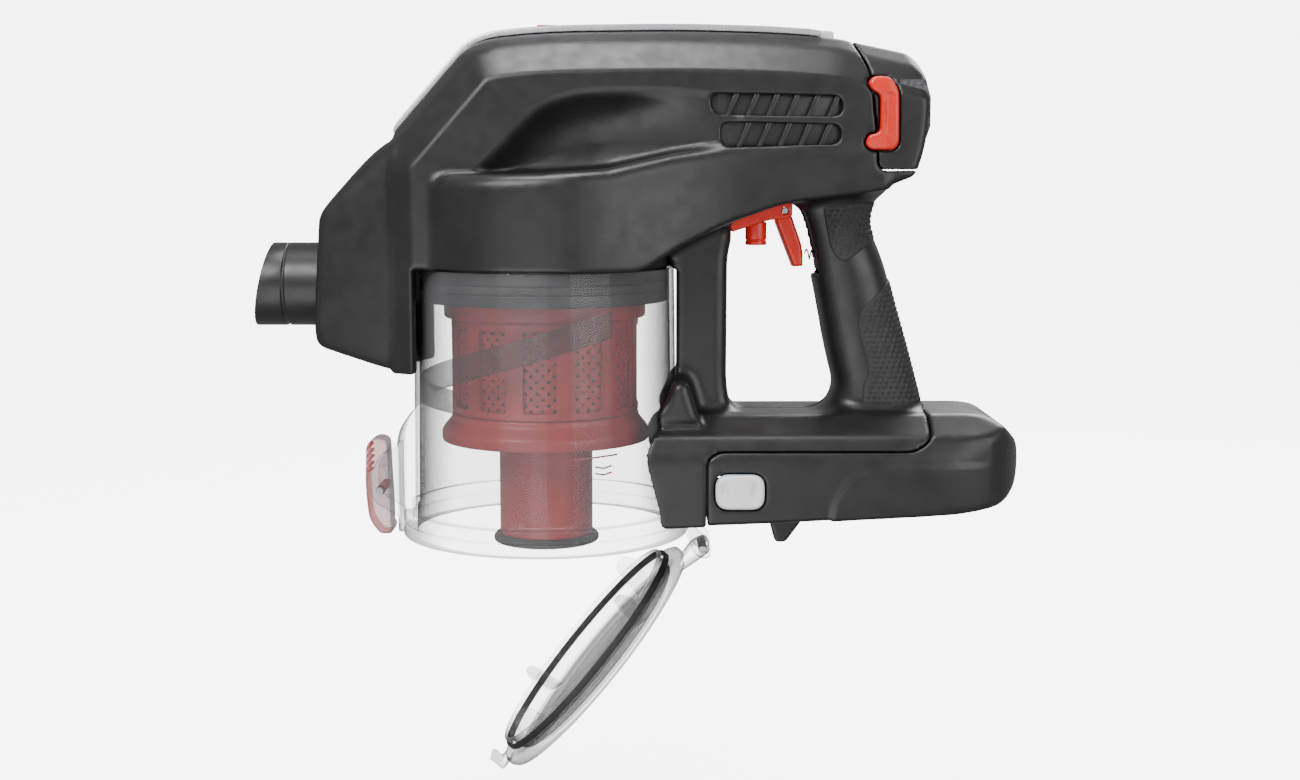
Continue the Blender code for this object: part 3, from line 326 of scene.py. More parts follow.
def plate(name, outline, low, high, look, ease=0.0, bevel=0.4, turn=None):
    """An XZ outline between two Y planes, with bevelled edges."""
    outline = eased(outline, ease) if ease else [p[:2] for p in outline]
    shape = bmesh.new()
    face = shape.faces.new([shape.verts.new((u, low, v)) for u, v in outline])
    made = bmesh.ops.extrude_face_region(shape, geom=[face])
    moved = [v for v in made["geom"] if isinstance(v, bmesh.types.BMVert)]
    bmesh.ops.translate(shape, vec=(0, high - low, 0), verts=moved)
    bmesh.ops.recalc_face_normals(shape, faces=shape.faces)
    if bevel:
        rims = [e for e in shape.edges if e.calc_face_angle(0) > math.radians(50)]
        bmesh.ops.bevel(shape, geom=rims, offset=bevel, segments=2, profile=0.5, affect="EDGES")
    if turn is not None:
        bmesh.ops.transform(shape, matrix=turn, verts=shape.verts)
    bmesh.ops.scale(shape, vec=(MM, MM, MM), verts=shape.verts)
    mesh = bpy.data.meshes.new(name)
    shape.to_mesh(mesh)
    shape.free()
    mesh.materials.append(look)
    crease(mesh, 35)
    return link(name, mesh)


def merge(name, pieces):
    """Several pieces as the separate shells of one mesh."""
    first = pieces[0]
    shape = bmesh.new()
    for piece in pieces:
        shape.from_mesh(piece.data)
    for piece in pieces[1:]:
        bpy.data.objects.remove(piece)
    shape.to_mesh(first.data)
    shape.free()
    first.name = name
    return first


def combine(target, others, operation="UNION"):
    """A Boolean that is applied at once; the other pieces are used up."""
    for other in others:
        step = target.modifiers.new("step", "BOOLEAN")
        step.operation = operation
        step.object = other
        step.solver = "MANIFOLD"
    graph = bpy.context.evaluated_depsgraph_get()
    mesh = bpy.data.meshes.new_from_object(target.evaluated_get(graph))
    target.modifiers.clear()
    target.data = mesh
    for other in others:
        bpy.data.objects.remove(other, do_unlink=True)
    crease(mesh, 35)
    return target


def fit(piece, body, slot, *nodes):
    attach(piece, body)
    if nodes:
        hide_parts(*nodes)
    return piece


def both_sides(left, name, body, slot, *nodes):
    """Fits a left piece and its mirror; body and nodes are given with {} for the side."""
    for side in ("left", "right"):
        piece = left if side == "left" else mirror(left, f"{name}_{side}")
        fit(piece, body.format(side), slot, *(node.format(side) for node in nodes))


# ---- materials


def put(node, values):
    for name, value in values.items():
        node.inputs[name].default_value = value


class Look:
    """A procedural material: a base colour that varies a little, grain in its bump and its roughness."""

    def __init__(self, name, colour, roughness, metallic=0.0, coat=0.0):
        self.material = bpy.data.materials.new(name)
        self.material.use_nodes = True
        self.nodes = self.material.node_tree.nodes
        self.links = self.material.node_tree.links
        self.shader = self.nodes["Principled BSDF"]
        put(self.shader, {"Base Color": (*colour, 1), "Roughness": roughness, "Metallic": metallic})
        put(self.shader, {"Coat Weight": coat})
        self.colour, self.roughness = colour, roughness
        self.place = self.nodes.new("ShaderNodeTexCoord").outputs["Object"]

    def noise(self, scale, detail=3.0, stretch=None):
        texture = self.nodes.new("ShaderNodeTexNoise")
        put(texture, {"Scale": scale, "Detail": detail})
        place = self.place
        if stretch:
            mapping = self.nodes.new("ShaderNodeMapping")
            mapping.inputs["Scale"].default_value = stretch
            self.links.new(place, mapping.inputs["Vector"])
            place = mapping.outputs["Vector"]
        self.links.new(place, texture.inputs["Vector"])
        return texture.outputs["Fac"]

    def ramp(self, source, low, high, start=0.3, end=0.7):
        ramp = self.nodes.new("ShaderNodeMapRange")
        put(ramp, {"From Min": start, "From Max": end, "To Min": low, "To Max": high})
        self.links.new(source, ramp.inputs["Value"])
        return ramp.outputs["Result"]

    def vary(self, scale=60.0, amount=0.12, spread=0.06):
        """Slow changes of colour and of roughness."""
        cloud = self.noise(scale)
        mix = self.nodes.new("ShaderNodeMix")
        mix.data_type = "RGBA"
        put(mix, {"A": (*(c * (1 - amount) for c in self.colour), 1),
                  "B": (*(min(1, c * (1 + amount)) for c in self.colour), 1)})
        self.links.new(self.ramp(cloud, 0, 1), mix.inputs["Factor"])
        self.links.new(mix.outputs["Result"], self.shader.inputs["Base Color"])
        rough = self.ramp(self.noise(scale * 3), self.roughness - spread, self.roughness + spread)
        self.links.new(rough, self.shader.inputs["Roughness"])
        self.mix = mix
        return self

    def lay(self, colour, share):
        """Another colour over the base colour."""
        over = self.nodes.new("ShaderNodeMix")
        over.data_type = "RGBA"
        over.inputs["B"].default_value = (*colour, 1)
        self.links.new(self.mix.outputs["Result"], over.inputs["A"])
        self.links.new(share, over.inputs["Factor"])
        self.links.new(over.outputs["Result"], self.shader.inputs["Base Color"])
        return self

    def wear(self, colour, amount=0.35):
        """Edges rubbed lighter, where the surface turns sharply outwards."""
        turn = self.nodes.new("ShaderNodeNewGeometry").outputs["Pointiness"]
        return self.lay(colour, self.ramp(turn, 0.0, amount, 0.53, 0.62))

    def grain(self, scale=2200.0, depth=0.00003, strength=0.35, stretch=None):
        bump = self.nodes.new("ShaderNodeBump")
        put(bump, {"Strength": strength, "Distance": depth})
        self.links.new(self.noise(scale, 2.0, stretch), bump.inputs["Height"])
        self.links.new(bump.outputs["Normal"], self.shader.inputs["Normal"])
        return self

    def see_through(self, facing, edge, rim):
        """Clear where the surface faces the eye and denser along its edges, with painted shade: the colour darkens
        towards rim, a painted dark edge shade, as the surface turns away from the eye.
        """
        weight = self.nodes.new("ShaderNodeLayerWeight")
        weight.inputs["Blend"].default_value = 0.4
        turn = weight.outputs["Facing"]
        self.links.new(self.ramp(turn, facing, edge, 0.25, 0.9), self.shader.inputs["Alpha"])
        # painted shade: the base colour darkens towards rim along the edges, standing in for the dark edge lines
        # of clear plastic
        return self.lay(rim, self.ramp(turn, 0, 1, 0.2, 0.75))


def make_looks():
    charcoal = Look("charcoal_plastic", (0.0125, 0.0125, 0.0135), 0.37).vary(45, 0.18)
    charcoal.wear((0.045, 0.045, 0.048)).grain(2600, 0.00003, 0.4)
    silver = Look("silver_paint", (0.66, 0.67, 0.69), 0.26, 0.55, 0.4)
    silver.vary(90, 0.05, 0.04).grain(5200, 0.00001, 0.3)
    red = Look("orange_red_plastic", (0.72, 0.02, 0.008), 0.3).vary(80, 0.08).grain(2600, 0.00002, 0.25)
    deep = Look("deep_red_plastic", (0.42, 0.012, 0.016), 0.34).vary(70, 0.15).grain(2400, 0.00002, 0.25)
    clear = Look("clear_plastic", (0.3, 0.3, 0.31), 0.06).vary(50, 0.06, 0.03)
    # the last colour of each see_through call is a painted dark edge shade
    clear.see_through(0.17, 0.95, (0.035, 0.035, 0.04))
    tint = Look("clear_red_plastic", (0.5, 0.03, 0.028), 0.1).vary(60, 0.12, 0.03)
    tint.see_through(0.66, 1.0, (0.2, 0.01, 0.01))
    vane = Look("smoked_vane_plastic", (0.09, 0.012, 0.016), 0.15).vary(60, 0.12, 0.04)
    vane.see_through(0.5, 0.8, (0.04, 0.006, 0.008))
    rubber = Look("grip_rubber", (0.019, 0.019, 0.02), 0.62).vary(120, 0.2, 0.08).grain(1800, 0.00006, 0.6)
    white = Look("white_plastic", (0.86, 0.86, 0.86), 0.18, 0, 0.3)
    white.vary(70, 0.02, 0.04).grain(3000, 0.00001, 0.2)
    steel = Look("turned_steel", (0.6, 0.6, 0.62), 0.3, 1.0)
    steel.vary(200, 0.1, 0.1).grain(900, 0.00002, 0.4, (12, 1, 1))
    board = Look("circuit_board", (0.02, 0.14, 0.06), 0.4).vary(300, 0.5, 0.1).grain(700, 0.0001, 0.5)
    foam = Look("filter_foam", (0.09, 0.09, 0.1), 0.95).vary(700, 0.45, 0.04).grain(900, 0.0006, 1.0)
    paper = Look("filter_paper", (0.82, 0.8, 0.74), 0.9).vary(200, 0.08, 0.05).grain(1500, 0.0001, 0.6)
    wrap = Look("cell_wrap", (0.05, 0.2, 0.5), 0.3).vary(90, 0.12).grain(1200, 0.00002, 0.3)
    looks = dict(charcoal=charcoal, silver=silver, orange_red=red, deep_red=deep, clear=clear,
                 clear_red=tint, vane=vane, rubber=rubber, white=white, steel=steel, board=board,
                 foam=foam, paper=paper, wrap=wrap)
    return {name: look.material for name, look in looks.items()}


LOOKS = make_looks()


def repaint_frame():
    """Gives every CAD node the finished material of its slot."""
    for part in frame["record"]["subparts"]:
        for holder in NODES[part["node"]].material_slots:
            holder.material = LOOKS[part["material_slot"]]


def moulded(name, field, start, look, body, node, cell=CELL):
    """A piece with a skin over its field, fitted in its body."""
    fit(skin(name, field, start, cell, LOOKS[look]), body, look, node)


# ---- moulded body


def top_depth(x, z):
    """Distance below the body's top and its front diagonal."""
    first, second = Vector(TOP_LINE[0]), Vector(TOP_LINE[1])
    ahead = first + (first - second).normalized() * 120
    line = [tuple(ahead)] + TOP_LINE + CAP_TOP
    region = eased([(x0, z0 - COVER_DROP, 16) for x0, z0 in line] + [(60, -300), (-300, -300)])
    return -flat(region, x, z)


def spine(x, w, z):
    """Upper body with its facets, and the rear cap, whose back is rounded."""
    outline = [(-206, -27.6, 1), (-206, 90, 1), (-150, 140, 1), (17.1, 140, 1), (17.4, 112.4, 6),
               (23.6, 105, 8), (27.6, 98.0, 8), (28.7, 88, 8), (28.2, 77, 8), (26.6, 67.5, 4),
               (23.4, 57.4, 3), (11.3, 53.4, 3), (7.1, 52.0, 6), (-37.6, 46.5, 12), (-61.0, 38.0, 12),
               (-80.5, 28.3, 6), (-98, 17.3, 2), (-195.6, 17.3, 1), (-195.6, -27.6, 1)]
    taper = 0.15 * w * np.clip((x + 12) / 30, 0, 1)  # the cap's back comes forward towards its sides
    side = flat(eased(outline), x + taper, z)
    body = both(facets(SECTION, w, top_depth(x + taper, z), 0.8), side, 3.0)
    front = ((-x - 195.5) * 0.62 + (w - 38.0)) / 1.18
    return both(body, front, 0.8)


def flank(x, w, z):
    """The drum over the dust cup, its sides running back into the spine under a rounded ledge."""
    drum = np.hypot(x - CUP_X, w) - DRUM_RADIUS
    edge = [(CUP_X, -10), (CUP_X, 50), (-104, 50.5), (-62.0, 40.8), (-36.0, 38.6), (0.0, 38.1),
            (7.0, 38.0), (7.0, -10)]
    plan = either(drum, flat(eased(edge, 18), x, w), 20)
    ledge = np.interp(x, [-204, -190, -140, -112, -86, -62, -30, 7],
                      [53.0, 57.5, 58.5, 60.5, 66.5, 70.5, 71, 69])
    body = both(plan, z - ledge, 7)
    under = [(-210, 17.3), (-98, 17.3), (-80.5, 28.3), (-61.0, 38.0), (-37.6, 46.5), (7.1, 52.0),
             (90, 60), (90, 200), (-210, 200)]
    return both(body, flat(eased(under, 5), x, z), 1.5)


def scoop(x, w, z):
    """The field of what the hand-sized hollow above the drum's ledge takes away."""
    outline = [(-176, 50, 8), (-141.5, 86, 12), (-126, 91.5, 14), (-96, 93, 24), (-62, 90, 22),
               (-54, 74, 20), (-60, 50, 14)]
    depth = -flat(eased(outline), x, z)
    fade = np.clip((-58 - x) / 62, 0, 1)
    hollow = 12.0 * np.tanh(np.maximum(depth, 0) / 10) * fade * fade * (3 - 2 * fade)
    surface = SPINE_HALF_WIDTH - hollow + 1.6 * np.maximum(-depth, 0)
    return (surface - w) * 0.6


def snout(x, y, z):
    """The nose round the inlet tube, wrapped round pairs of points."""
    sides = [(-241.3, 24, -12), (-239.6, 22, -17.0), (-238.0, 22, 41.4), (-203.0, 32.8, -27.6),
             (-200.5, 33.6, -27.6), (-200.5, 33.6, 52), (-203, 31, 68), (-200, 25, 76), (-213.4, 23, 68.4)]
    points = [(px, side * py, pz) for px, py, pz in sides for side in (-1, 1)]
    return solid_of_points(points, x, y, z, 3.0)


def handle(x, w, z):
    outline = [(-26, -58, 1), (-17.5, -46, 5), (-12.0, -36, 7), (-16.3, -19.5, 12), (-20.9, 4.5, 14),
               (-25.4, 26.6, 8), (-28.0, 36.6, 6), (-34, 50, 3), (-20, 60, 1), (12, 60, 1), (8.4, 51.0, 4),
               (3.4, 43.0, 6), (2.7, 35.0, 6), (9.4, 20, 8), (14, 2.7, 12), (19.5, -15.8, 12),
               (27.0, -42.5, 2), (27.1, -58, 1)]
    return both(flat(eased(outline), x, z), w - HANDLE_HALF_WIDTH, 17)


def strut(x, w, z):
    outline = [(-86, 10), (-88, 30), (-61, 42), (-58.0, 32, 5), (-60.3, 22, 6), (-60.5, -36, 10),
               (-57, -50), (-86, -50)]
    return both(flat(eased(outline, 4), x, z), w - STRUT_HALF_WIDTH, 6)


def base(x, w, z):
    """Deck, front block and battery as one shape, later parted along their seam."""
    side = [(-98.0, -46, 2), (-98.6, -60, 4), (-92.6, -94.4, 6), (-40, -92.4, 10), (44, -87.8, 16),
            (60, -85.2, 10), (68.6, -77.5, 8), (70.4, -68, 6), (69.2, -60, 5), (57, -48.0, 10),
            (44, -44.6, 8), (20, -45.6, 8)]
    outline = flat(eased(side), x, z)
    section = facets([(-60, 46.0), (22.0, 46.0), (37.2, 54.7), (42.0, 64.1), (41.4, 150)], w, -z, 1.2)
    plan = [(-98.8, -60), (-98.8, 42.2, 4), (36, 42.2, 26), (60, 34, 14), (70.6, 14, 16), (70.6, -60)]
    body = both(both(outline, section, 2.0), flat(eased(plan), x, w), 3.0)
    web = [(-99, -52, 1), (-96, -47, 3), (-88, -41, 4), (-84, -31, 4), (-78, -31, 3), (-72, -50, 1)]
    return either(body, both(flat(eased(web), x, z), w - 33, 5), 3)


def cup_room(x, y, z):
    rim = np.interp(z, [-200, -88, -62, 60], [65.6, 65.6, 60.4, 60.4])
    return np.hypot(x - CUP_X, y) - rim


CAP_SEAM = [(-9.6, 130, 1), (-8.2, 115.4, 1), (-1.6, 101.6, 4), (1.6, 72.0, 8), (1.8, 59.8, 4), (14, 59.6, 4),
            (60, 61.0, 1), (60, 130, 1)]
DECK_SEAM = [(-300, 300, 1), (-300, -130, 1), (-69.8, -130, 1), (-69.8, -63.6, 3), (-64.5, -60.6, 4),
             (20, -60.6, 4), (27.3, -55.5, 4), (27.3, -45.7, 1), (200, -45.7, 1), (200, 300, 1)]
REAR_LATCH = [(-4.0, 70.5, 1.5), (-1.5, 68.0, 2), (8.5, 68.0, 3), (10.6, 71.0, 2), (10.2, 93.0, 3),
              (6.5, 99.0, 4), (-1.0, 99.0, 2), (-3.2, 96.0, 1.5), (-1.4, 93.0, 2), (2.2, 91.0, 4),
              (2.2, 75.5, 4), (-2.6, 74.5, 1.5)]
VENT_ROWS = [  # the corners of each opening
    [(-69.5, 91.6, 4), (-13.6, 90.6, 4), (-13.8, 82.2, 4), (-67.5, 83.2, 4)],
    [(-64.6, 79.6, 4), (-13.8, 78.6, 4), (-14.4, 70.6, 4), (-64.0, 69.4, 4)],
]


def upper_body(x, y, z):
    w = np.abs(y)
    body = without(spine(x, w, z), scoop(x, w, z), 2.5)
    body = either(body, flank(x, w, z), 3.0)
    return either(body, snout(x, y, z), 1.2)


def latch_boss(x, w, z):
    """Thick wall that carries the pocket of a rear latch."""
    return both(flat(eased(REAR_LATCH), x, z) - 4, LATCH_POCKET_DEPTH - 4 - w)


def latch_pocket(x, w, z):
    return both(flat(eased(REAR_LATCH), x, z) - LATCH_ROOM, LATCH_POCKET_DEPTH - w)


def body_shell(x, y, z):
    w = np.abs(y)
    upper, low_part = upper_body(x, y, z), base(x, w, z)
    field = either(either(upper, handle(x, w, z), 7), strut(x, w, z), 5)
    field = either(field, low_part, 6)
    hollow = np.maximum(np.minimum(upper, low_part) + WALL, -latch_boss(x, w, z))
    field = without(field, hollow, 0.5)
    field = both(field, flat(eased(DECK_SEAM), x, z) + GAP, 0.6)
    field = without(field, flat(eased(CAP_SEAM), x, z) - GAP, 0.6)
    field = without(field, cup_room(x, y, z) + np.maximum(z - CUP_TOP_Z + 0.2, 0) * 9, 0.8)
    field = without(field, both(np.hypot(x - CUP_X, y) - DRUM_RADIUS + 2.6, z - 30), 0.4)
    field = without(field, both(np.hypot(y, z - TUBE_Z) - TUBE_RADIUS - 0.4, x + 222), 0.6)
    # the cup's port, the vents, the latch pockets, the two top buttons, the trigger and its blade's travel
    field = without(field, block(x, w, z, (-207, -20, -24), (-192, 15.5, 4.5)))
    for row in VENT_ROWS:
        field = without(field, both(flat(eased(row), x, z), 28 - w), 1.0)
    field = without(field, latch_pocket(x, w, z), 0.4)
    field = without(field, block(x, w, z, (-144.6, -1, 100), (-124.4, 5.6, 140)))
    field = without(field, block(x, w, z, (-30.6, -1, 100), (-13.4, 5.1, 140)))
    field = without(field, block(x, w, z, (-42.5, -1, 14), (-13, 10, 60), 1.0))
    field = without(field, block(x, w, z, (-24, -1, -10), (-18.2 + (z - 4) * -0.21, 2.6, 4), 1.0))
    return both(field, y + GAP / 2, 0.8)


def make_body():
    low, cell = (-244, -62, -98), 1.0
    x, y, z = grid(low, (10, 2, 124), cell)
    x = np.concatenate([x, x[-1:] + cell * np.arange(1, 22, dtype=np.float32)[:, None, None]])
    left = skin("body_shell_left", body_shell(x, y, z), low, cell, LOOKS["charcoal"])
    both_sides(left, "body_shell", "root", "charcoal", "housing_{}", "grip_frame_{}")


def make_rear_cap():
    low, cell = (-12, -41, 50), 0.8
    x, y, z = grid(low, (31, 41, 121), cell)
    w = np.abs(y)
    outer = spine(x, w, z)
    field = without(outer, np.maximum(outer + WALL, -latch_boss(x, w, z)), 0.5)
    field = both(field, flat(eased(CAP_SEAM), x, z) + GAP, 0.6)
    field = without(field, latch_pocket(x, w, z), 0.4)
    moulded("rear_cap_shell", field, low, "charcoal", "rear_cap", "rear_cap", cell)


def make_rear_latches():
    low = (-6, -42, 66)
    x, y, z = grid(low, (13, -33, 101), CELL)
    w = np.abs(y)
    crown = 40.6 - 0.10 * np.abs(x - 5.5) - 0.0045 * (z - 83.5) ** 2
    field = both(flat(eased(REAR_LATCH), x, z) + 0.15, w - crown, 1.6)
    groove = both(flat([(4.4, 74), (8.0, 74), (8.0, 92), (4.4, 92)], x, z), 39.7 - w, 0.8)
    field = without(both(field, 35.4 - w, 0.6), groove)
    left = skin("rear_latch_key_left", field, low, CELL, LOOKS["orange_red"])
    both_sides(left, "rear_latch_key", "rear_latch_{}", "orange_red", "rear_latch_{}")


def make_vents():
    """Leaning ribs across both vent openings, set back in the wall, and a dark screen behind them, which stands in
    for the shade deep inside the vents.
    """
    for side, name in ((-1, "left"), (1, "right")):
        bars = []
        for row, (start, low, high) in enumerate(((-62.0, 81.6, 92.2), (-57.0, 69.0, 80.2))):
            for i in range(6 if row == 0 else 5):
                x = start + i * 8.6
                lean = (high - low) * 0.42
                outline = [(x - 1.2, low), (x + 1.0, low), (x + 1.0 + lean, high), (x - 1.2 + lean, high)]
                near, far = sorted((side * 37.0, side * 34.6))
                bars.append(plate(f"vent_bar_{row}_{i}", outline, near, far, LOOKS["charcoal"], bevel=0.35))
        # a dark sheet behind the openings: a screen that also stands in for the shade deep inside the vents
        near, far = sorted((side * 34.8, side * 33.2))
        shade_screen = [(-71, 93.5, 4), (-12, 92.5, 4), (-12, 69, 4), (-66, 67.5, 4)]
        bars.append(plate("vent_shade_screen", shade_screen, near, far, LOOKS["charcoal"], ease=3))
        ribs = merge(f"vent_ribs_{name}", bars)
        crease(ribs.data, 35)
        fit(ribs, "root", "charcoal")


def make_top_strip():
    """The silver cover: a crowned strip that follows the top line, with holes for two buttons."""
    path = eased([(x, z, 16) for x, z in TOP_LINE[:-1]], 16, 8)[4:-4]
    rings = []
    for i, point in enumerate(path):
        before, after = Vector(path[max(i - 1, 0)]), Vector(path[min(i + 1, len(path) - 1)])
        run = (after - before).normalized()
        rise = Vector((-run.y, run.x))
        ring = []
        half = COVER_HALF_WIDTH
        for y, h in [(-half, -3.0), (-half, -1.3), (-half + 0.25, -0.75), (-half + 0.8, -0.5),
                     (-half * 0.6, -0.15), (0, 0), (half * 0.6, -0.15), (half - 0.8, -0.5),
                     (half - 0.25, -0.75), (half, -1.3), (half, -3.0), (half - 0.4, -3.3), (0, -3.3),
                     (-half + 0.4, -3.3)]:
            spot = Vector(point) + rise * h
            ring.append((spot.x, y, spot.y))
        rings.append(ring)
    cover = sweep("top_strip", rings, LOOKS["silver"], sharp=50)
    holes = []
    for low, high, half in ((-144.3, -124.7, 5.35), (-30.3, -13.7, 4.85)):
        outline = [(low, 108), (high, 108), (high, 130), (low, 130)]
        holes.append(plate("hole", outline, -half, half, LOOKS["silver"], bevel=0))
    combine(cover, holes, "DIFFERENCE")
    fit(cover, "root", "silver", "top_cover")


def make_top_buttons():
    for node, look in (("power_button", "orange_red"), ("boost_button", "white")):
        low, high = corners(node)
        cell = 0.3
        start, (x, y, z) = grid_about(node, cell)
        slope = 0.035 if node == "power_button" else 0.085  # of the top line at the button
        top = high.z - 0.25 - 0.02 * y * y - slope * np.abs(x - low.x)
        dish = np.hypot((x - (low.x + high.x) / 2) / 6.0, y / 2.6)
        field = both(block(x, y, z, low, high, 1.2), z - top - 0.25 * np.clip(dish - 1, -1, 0), 0.8)
        moulded(node + "_key", field, start, look, node, node, cell)


def make_inlet():
    """The inlet tube with its groove, its end slanted back towards the top."""
    outer, inner = TUBE_RADIUS, TUBE_BORE_RADIUS
    root = corners("inlet_tube")[1].x
    bend_x = -254.0
    slope = (TUBE_END_X + 262.0) / (2 * TUBE_RADIUS)
    profile = [(outer, TUBE_END_X + 4), (outer, -256), (outer - 0.5, -255.6), (outer - 0.5, -254.8),
               (outer, -254.4), (outer, root - 3), (outer + 2.4, root - 3), (outer + 2.4, root),
               (inner, root), (inner, TUBE_END_X + 4)]

    def slant(point):
        share = max(0.0, (bend_x - point[0]) / (bend_x - TUBE_END_X - 4))
        return (point[0] + share * slope * -(point[2] - TUBE_Z), point[1], point[2])

    tube = turned("inlet_spout", profile, LOOKS["charcoal"], "X", (0, 0, TUBE_Z), bend=slant)
    fit(tube, "root", "charcoal", "inlet_tube")


# ---- grip, trigger and battery


def make_grip_pads():
    """Rubber pads that follow the handle, covered with small raised dots."""
    outlines = {
        "upper": [(-19.4, 45.2, 3), (-15.8, 26.6, 4), (-12.6, 21.2, 4), (-8.6, 19.8, 4), (-4.5, 23, 4),
                  (8, 31.6, 2), (6, 46, 2)],
        "lower": [(14, 14.0, 2), (-1.8, -0.9, 6), (-3.2, -6.8, 4), (-1.8, -14, 6), (2.5, -28.8, 5),
                  (-0.5, -34.2, 4), (-0.5, -44.4, 1), (29, -44.4, 1), (24, -15.8, 2), (19, 2.7, 2)],
    }
    cell = 0.45
    for name, outline in outlines.items():
        node = "grip_pad_" + name
        start, (x, y, z) = grid_about(node, cell, (1.5, 1.5, 1.5), (2.5, 1.5, 1.5))
        w = np.abs(y)
        region = flat(eased(outline), x, z)
        centre = np.interp(z, [-46, -15, 5, 35, 50], [7.5, 1.5, -3.5, -12.5, -13.5])
        around = np.arctan2(y, x - centre) * 17.0  # the handle's usual radius
        pitch = 2.6  # rows of dots are set in a triangular pattern
        across, up = around / pitch, z / (pitch * 0.866)
        row = np.floor(up)
        spot = np.hypot(across + row * 0.5 - np.round(across + row * 0.5), (up - row - 0.5) * 0.866) * pitch
        dots = 0.35 * np.clip((1.05 - spot) / 0.5, 0, 1) * np.clip(-region / 1.5 - 0.5, 0, 1)
        surface = handle(x, w, z)
        field = both(both(surface - 0.45 - dots, region, 0.7), -(surface + 1.2))
        moulded(f"rubber_pad_{name}", field, start, "rubber", "root", node, cell)


def make_trigger():
    """The trigger's blade, the carrier it hangs from and the lock knob in the carrier."""
    start, (x, y, z) = grid_about("trigger", CELL)
    w = np.abs(y)
    outline = [(-38.0, 44.0, 2), (-39.6, 38.4, 3), (-35.6, 28.0, 9), (-31.2, 17.0, 0.8), (-26.3, 17.2, 0.8),
               (-26.4, 25.7, 5), (-29.4, 33.8, 4), (-32.2, 42.0, 2), (-33.4, 44.0, 1)]
    finger = w * w * 0.012
    pin = 1.6
    field = both(flat(eased(outline), x, z) + finger, w - 6.9, 1.6)
    field = without(field, np.hypot(x - TRIGGER.x, z - TRIGGER.z) - pin)
    moulded("trigger_blade", field, start, "orange_red", "trigger", "trigger")

    start, (x, y, z) = grid_about("trigger_plate", CELL)
    w = np.abs(y)
    outline = [(-59.9, 37.6, 1), (-39.4, 45.0, 1), (-38.0, 45.4, 1), (-31.6, 46.4, 1), (-31.6, 38.6, 2.5),
               (-42, 37.8, 2), (-58.7, 32.4, 1.5)]
    field = both(flat(eased(outline), x, z), w - 9.5, 1.2)
    field = without(field, both(block(x, w, z, (-43.2, -1, 20), (-25, 7.4, 60)), -z + 20), 0.8)
    field = without(field, np.hypot(x + 47.2, y) - 5.2, 0.6)
    field = without(field, np.hypot(x - TRIGGER.x, z - TRIGGER.z) - pin)
    moulded("trigger_carrier", field, start, "orange_red", "root", "trigger_plate")

    low, high = corners("lock_button")
    size = (high.x - low.x) / 2
    knob = [(0.01, high.z), (size, high.z), (size, low.z + 2.6), (size - 0.5, low.z + 2.2),
            (size, low.z + 1.8), (size, low.z), (size - 1.2, low.z), (size - 1.7, low.z + 0.5),
            (0.01, low.z + 0.5)]
    middle = ((low.x + high.x) / 2, 0, 0)
    made = turned("lock_knob", knob, LOOKS["orange_red"], at=middle, steps=64, ease=0.35)
    fit(made, "lock_button", "orange_red", "lock_button")


BUTTON = [(-66.3, -85.5, 6), (-44.9, -85.5, 6), (-44.9, -70.1, 6), (-66.3, -70.1, 6)]


def make_battery():
    low, cell = (-72, -44, -97), 0.9
    x, y, z = grid(low, (73, 44, -43), cell)
    w = np.abs(y)
    panel = [(-16, -100, 2), (-14.5, -80, 8), (-2, -67.8, 8), (64, -67.0, 6), (80, -70, 2), (80, -100, 2)]
    sunk = 0.7 * np.clip(flat(eased(panel), x, z) / 1.6, 0, 1) * np.clip((w - 36) / 3, 0, 1)
    outer = base(x, w, z) + sunk
    outer = both(outer, GAP - flat(eased(DECK_SEAM), x, z), 0.8)
    field = without(outer, outer + 2.8)
    field = without(field, block(x, w, z, (-66.8, -1, -66), (23.9, 35.9, -50)))
    field = without(field, both(flat(eased(BUTTON), x, z) - 0.5, 34 - w), 0.5)
    moulded("battery_shell", field, low, "charcoal", "battery", "battery_case", cell)

    start = (-68, -44.5, -88)
    x, y, z = grid(start, (-43, -36, -68), CELL)
    w = np.abs(y)
    scoops = 1.5 * np.clip(1 - np.hypot((np.abs(x + 55.6) - 6.6) / 2.3, (z + 77.8) / 5.6), 0, 1)
    crown = 43.2 - 0.004 * (x + 55.6) ** 2 - scoops
    field = both(both(flat(eased(BUTTON), x, z) + 0.1, w - crown, 2.2), 39 - w, 0.4)
    left = skin("release_key_left", field, start, CELL, LOOKS["white"])
    both_sides(left, "release_key", "release_button_{}", "white", "release_button_{}")

    start, (x, y, z) = grid_about("dock_hook", CELL)
    w = np.abs(y)
    outline = [(-42, -91, 1), (-24, -91, 1), (-26, -98, 2), (-33.0, -107.5, 1.5), (-37.8, -107.5, 1.5),
               (-40, -99, 2)]
    field = both(both(flat(eased(outline), x, z), w - 6, 1.4), base(x, w, z) * -1 + 0.1)
    moulded("dock_wedge", field, start, "charcoal", "battery", "dock_hook")


# ---- cup and filter


AXIS = (CUP_X, 0, 0)
ROUND_STEPS = 160
CUP_RIM_Z, CUP_SHOULDER_Z, CUP_FOOT_Z = 17.0, -89.0, -102.0
CUP_TOP_RADIUS, CUP_DRAFT = 57.8, 1.5
INNER_TOP, INNER_RIM = 55.6, 57.1
CAGE_RADIUS, CAGE_BORE = 41.8, 39.8
CAGE_WINDOWS = 12


def cup_bore(z):
    """Radius inside the cup's wall at this height."""
    share = (CUP_TOP_Z - z) / (CUP_TOP_Z - CUP_SHOULDER_Z)
    return INNER_TOP + share * CUP_DRAFT


def turned_piece(name, profile, look, body, node, steps=ROUND_STEPS, ease=0.4):
    """A piece turned about the cup's axis, fitted in its body."""
    fit(turned(name, profile, LOOKS[look], at=AXIS, steps=steps, ease=ease), body, look, node)


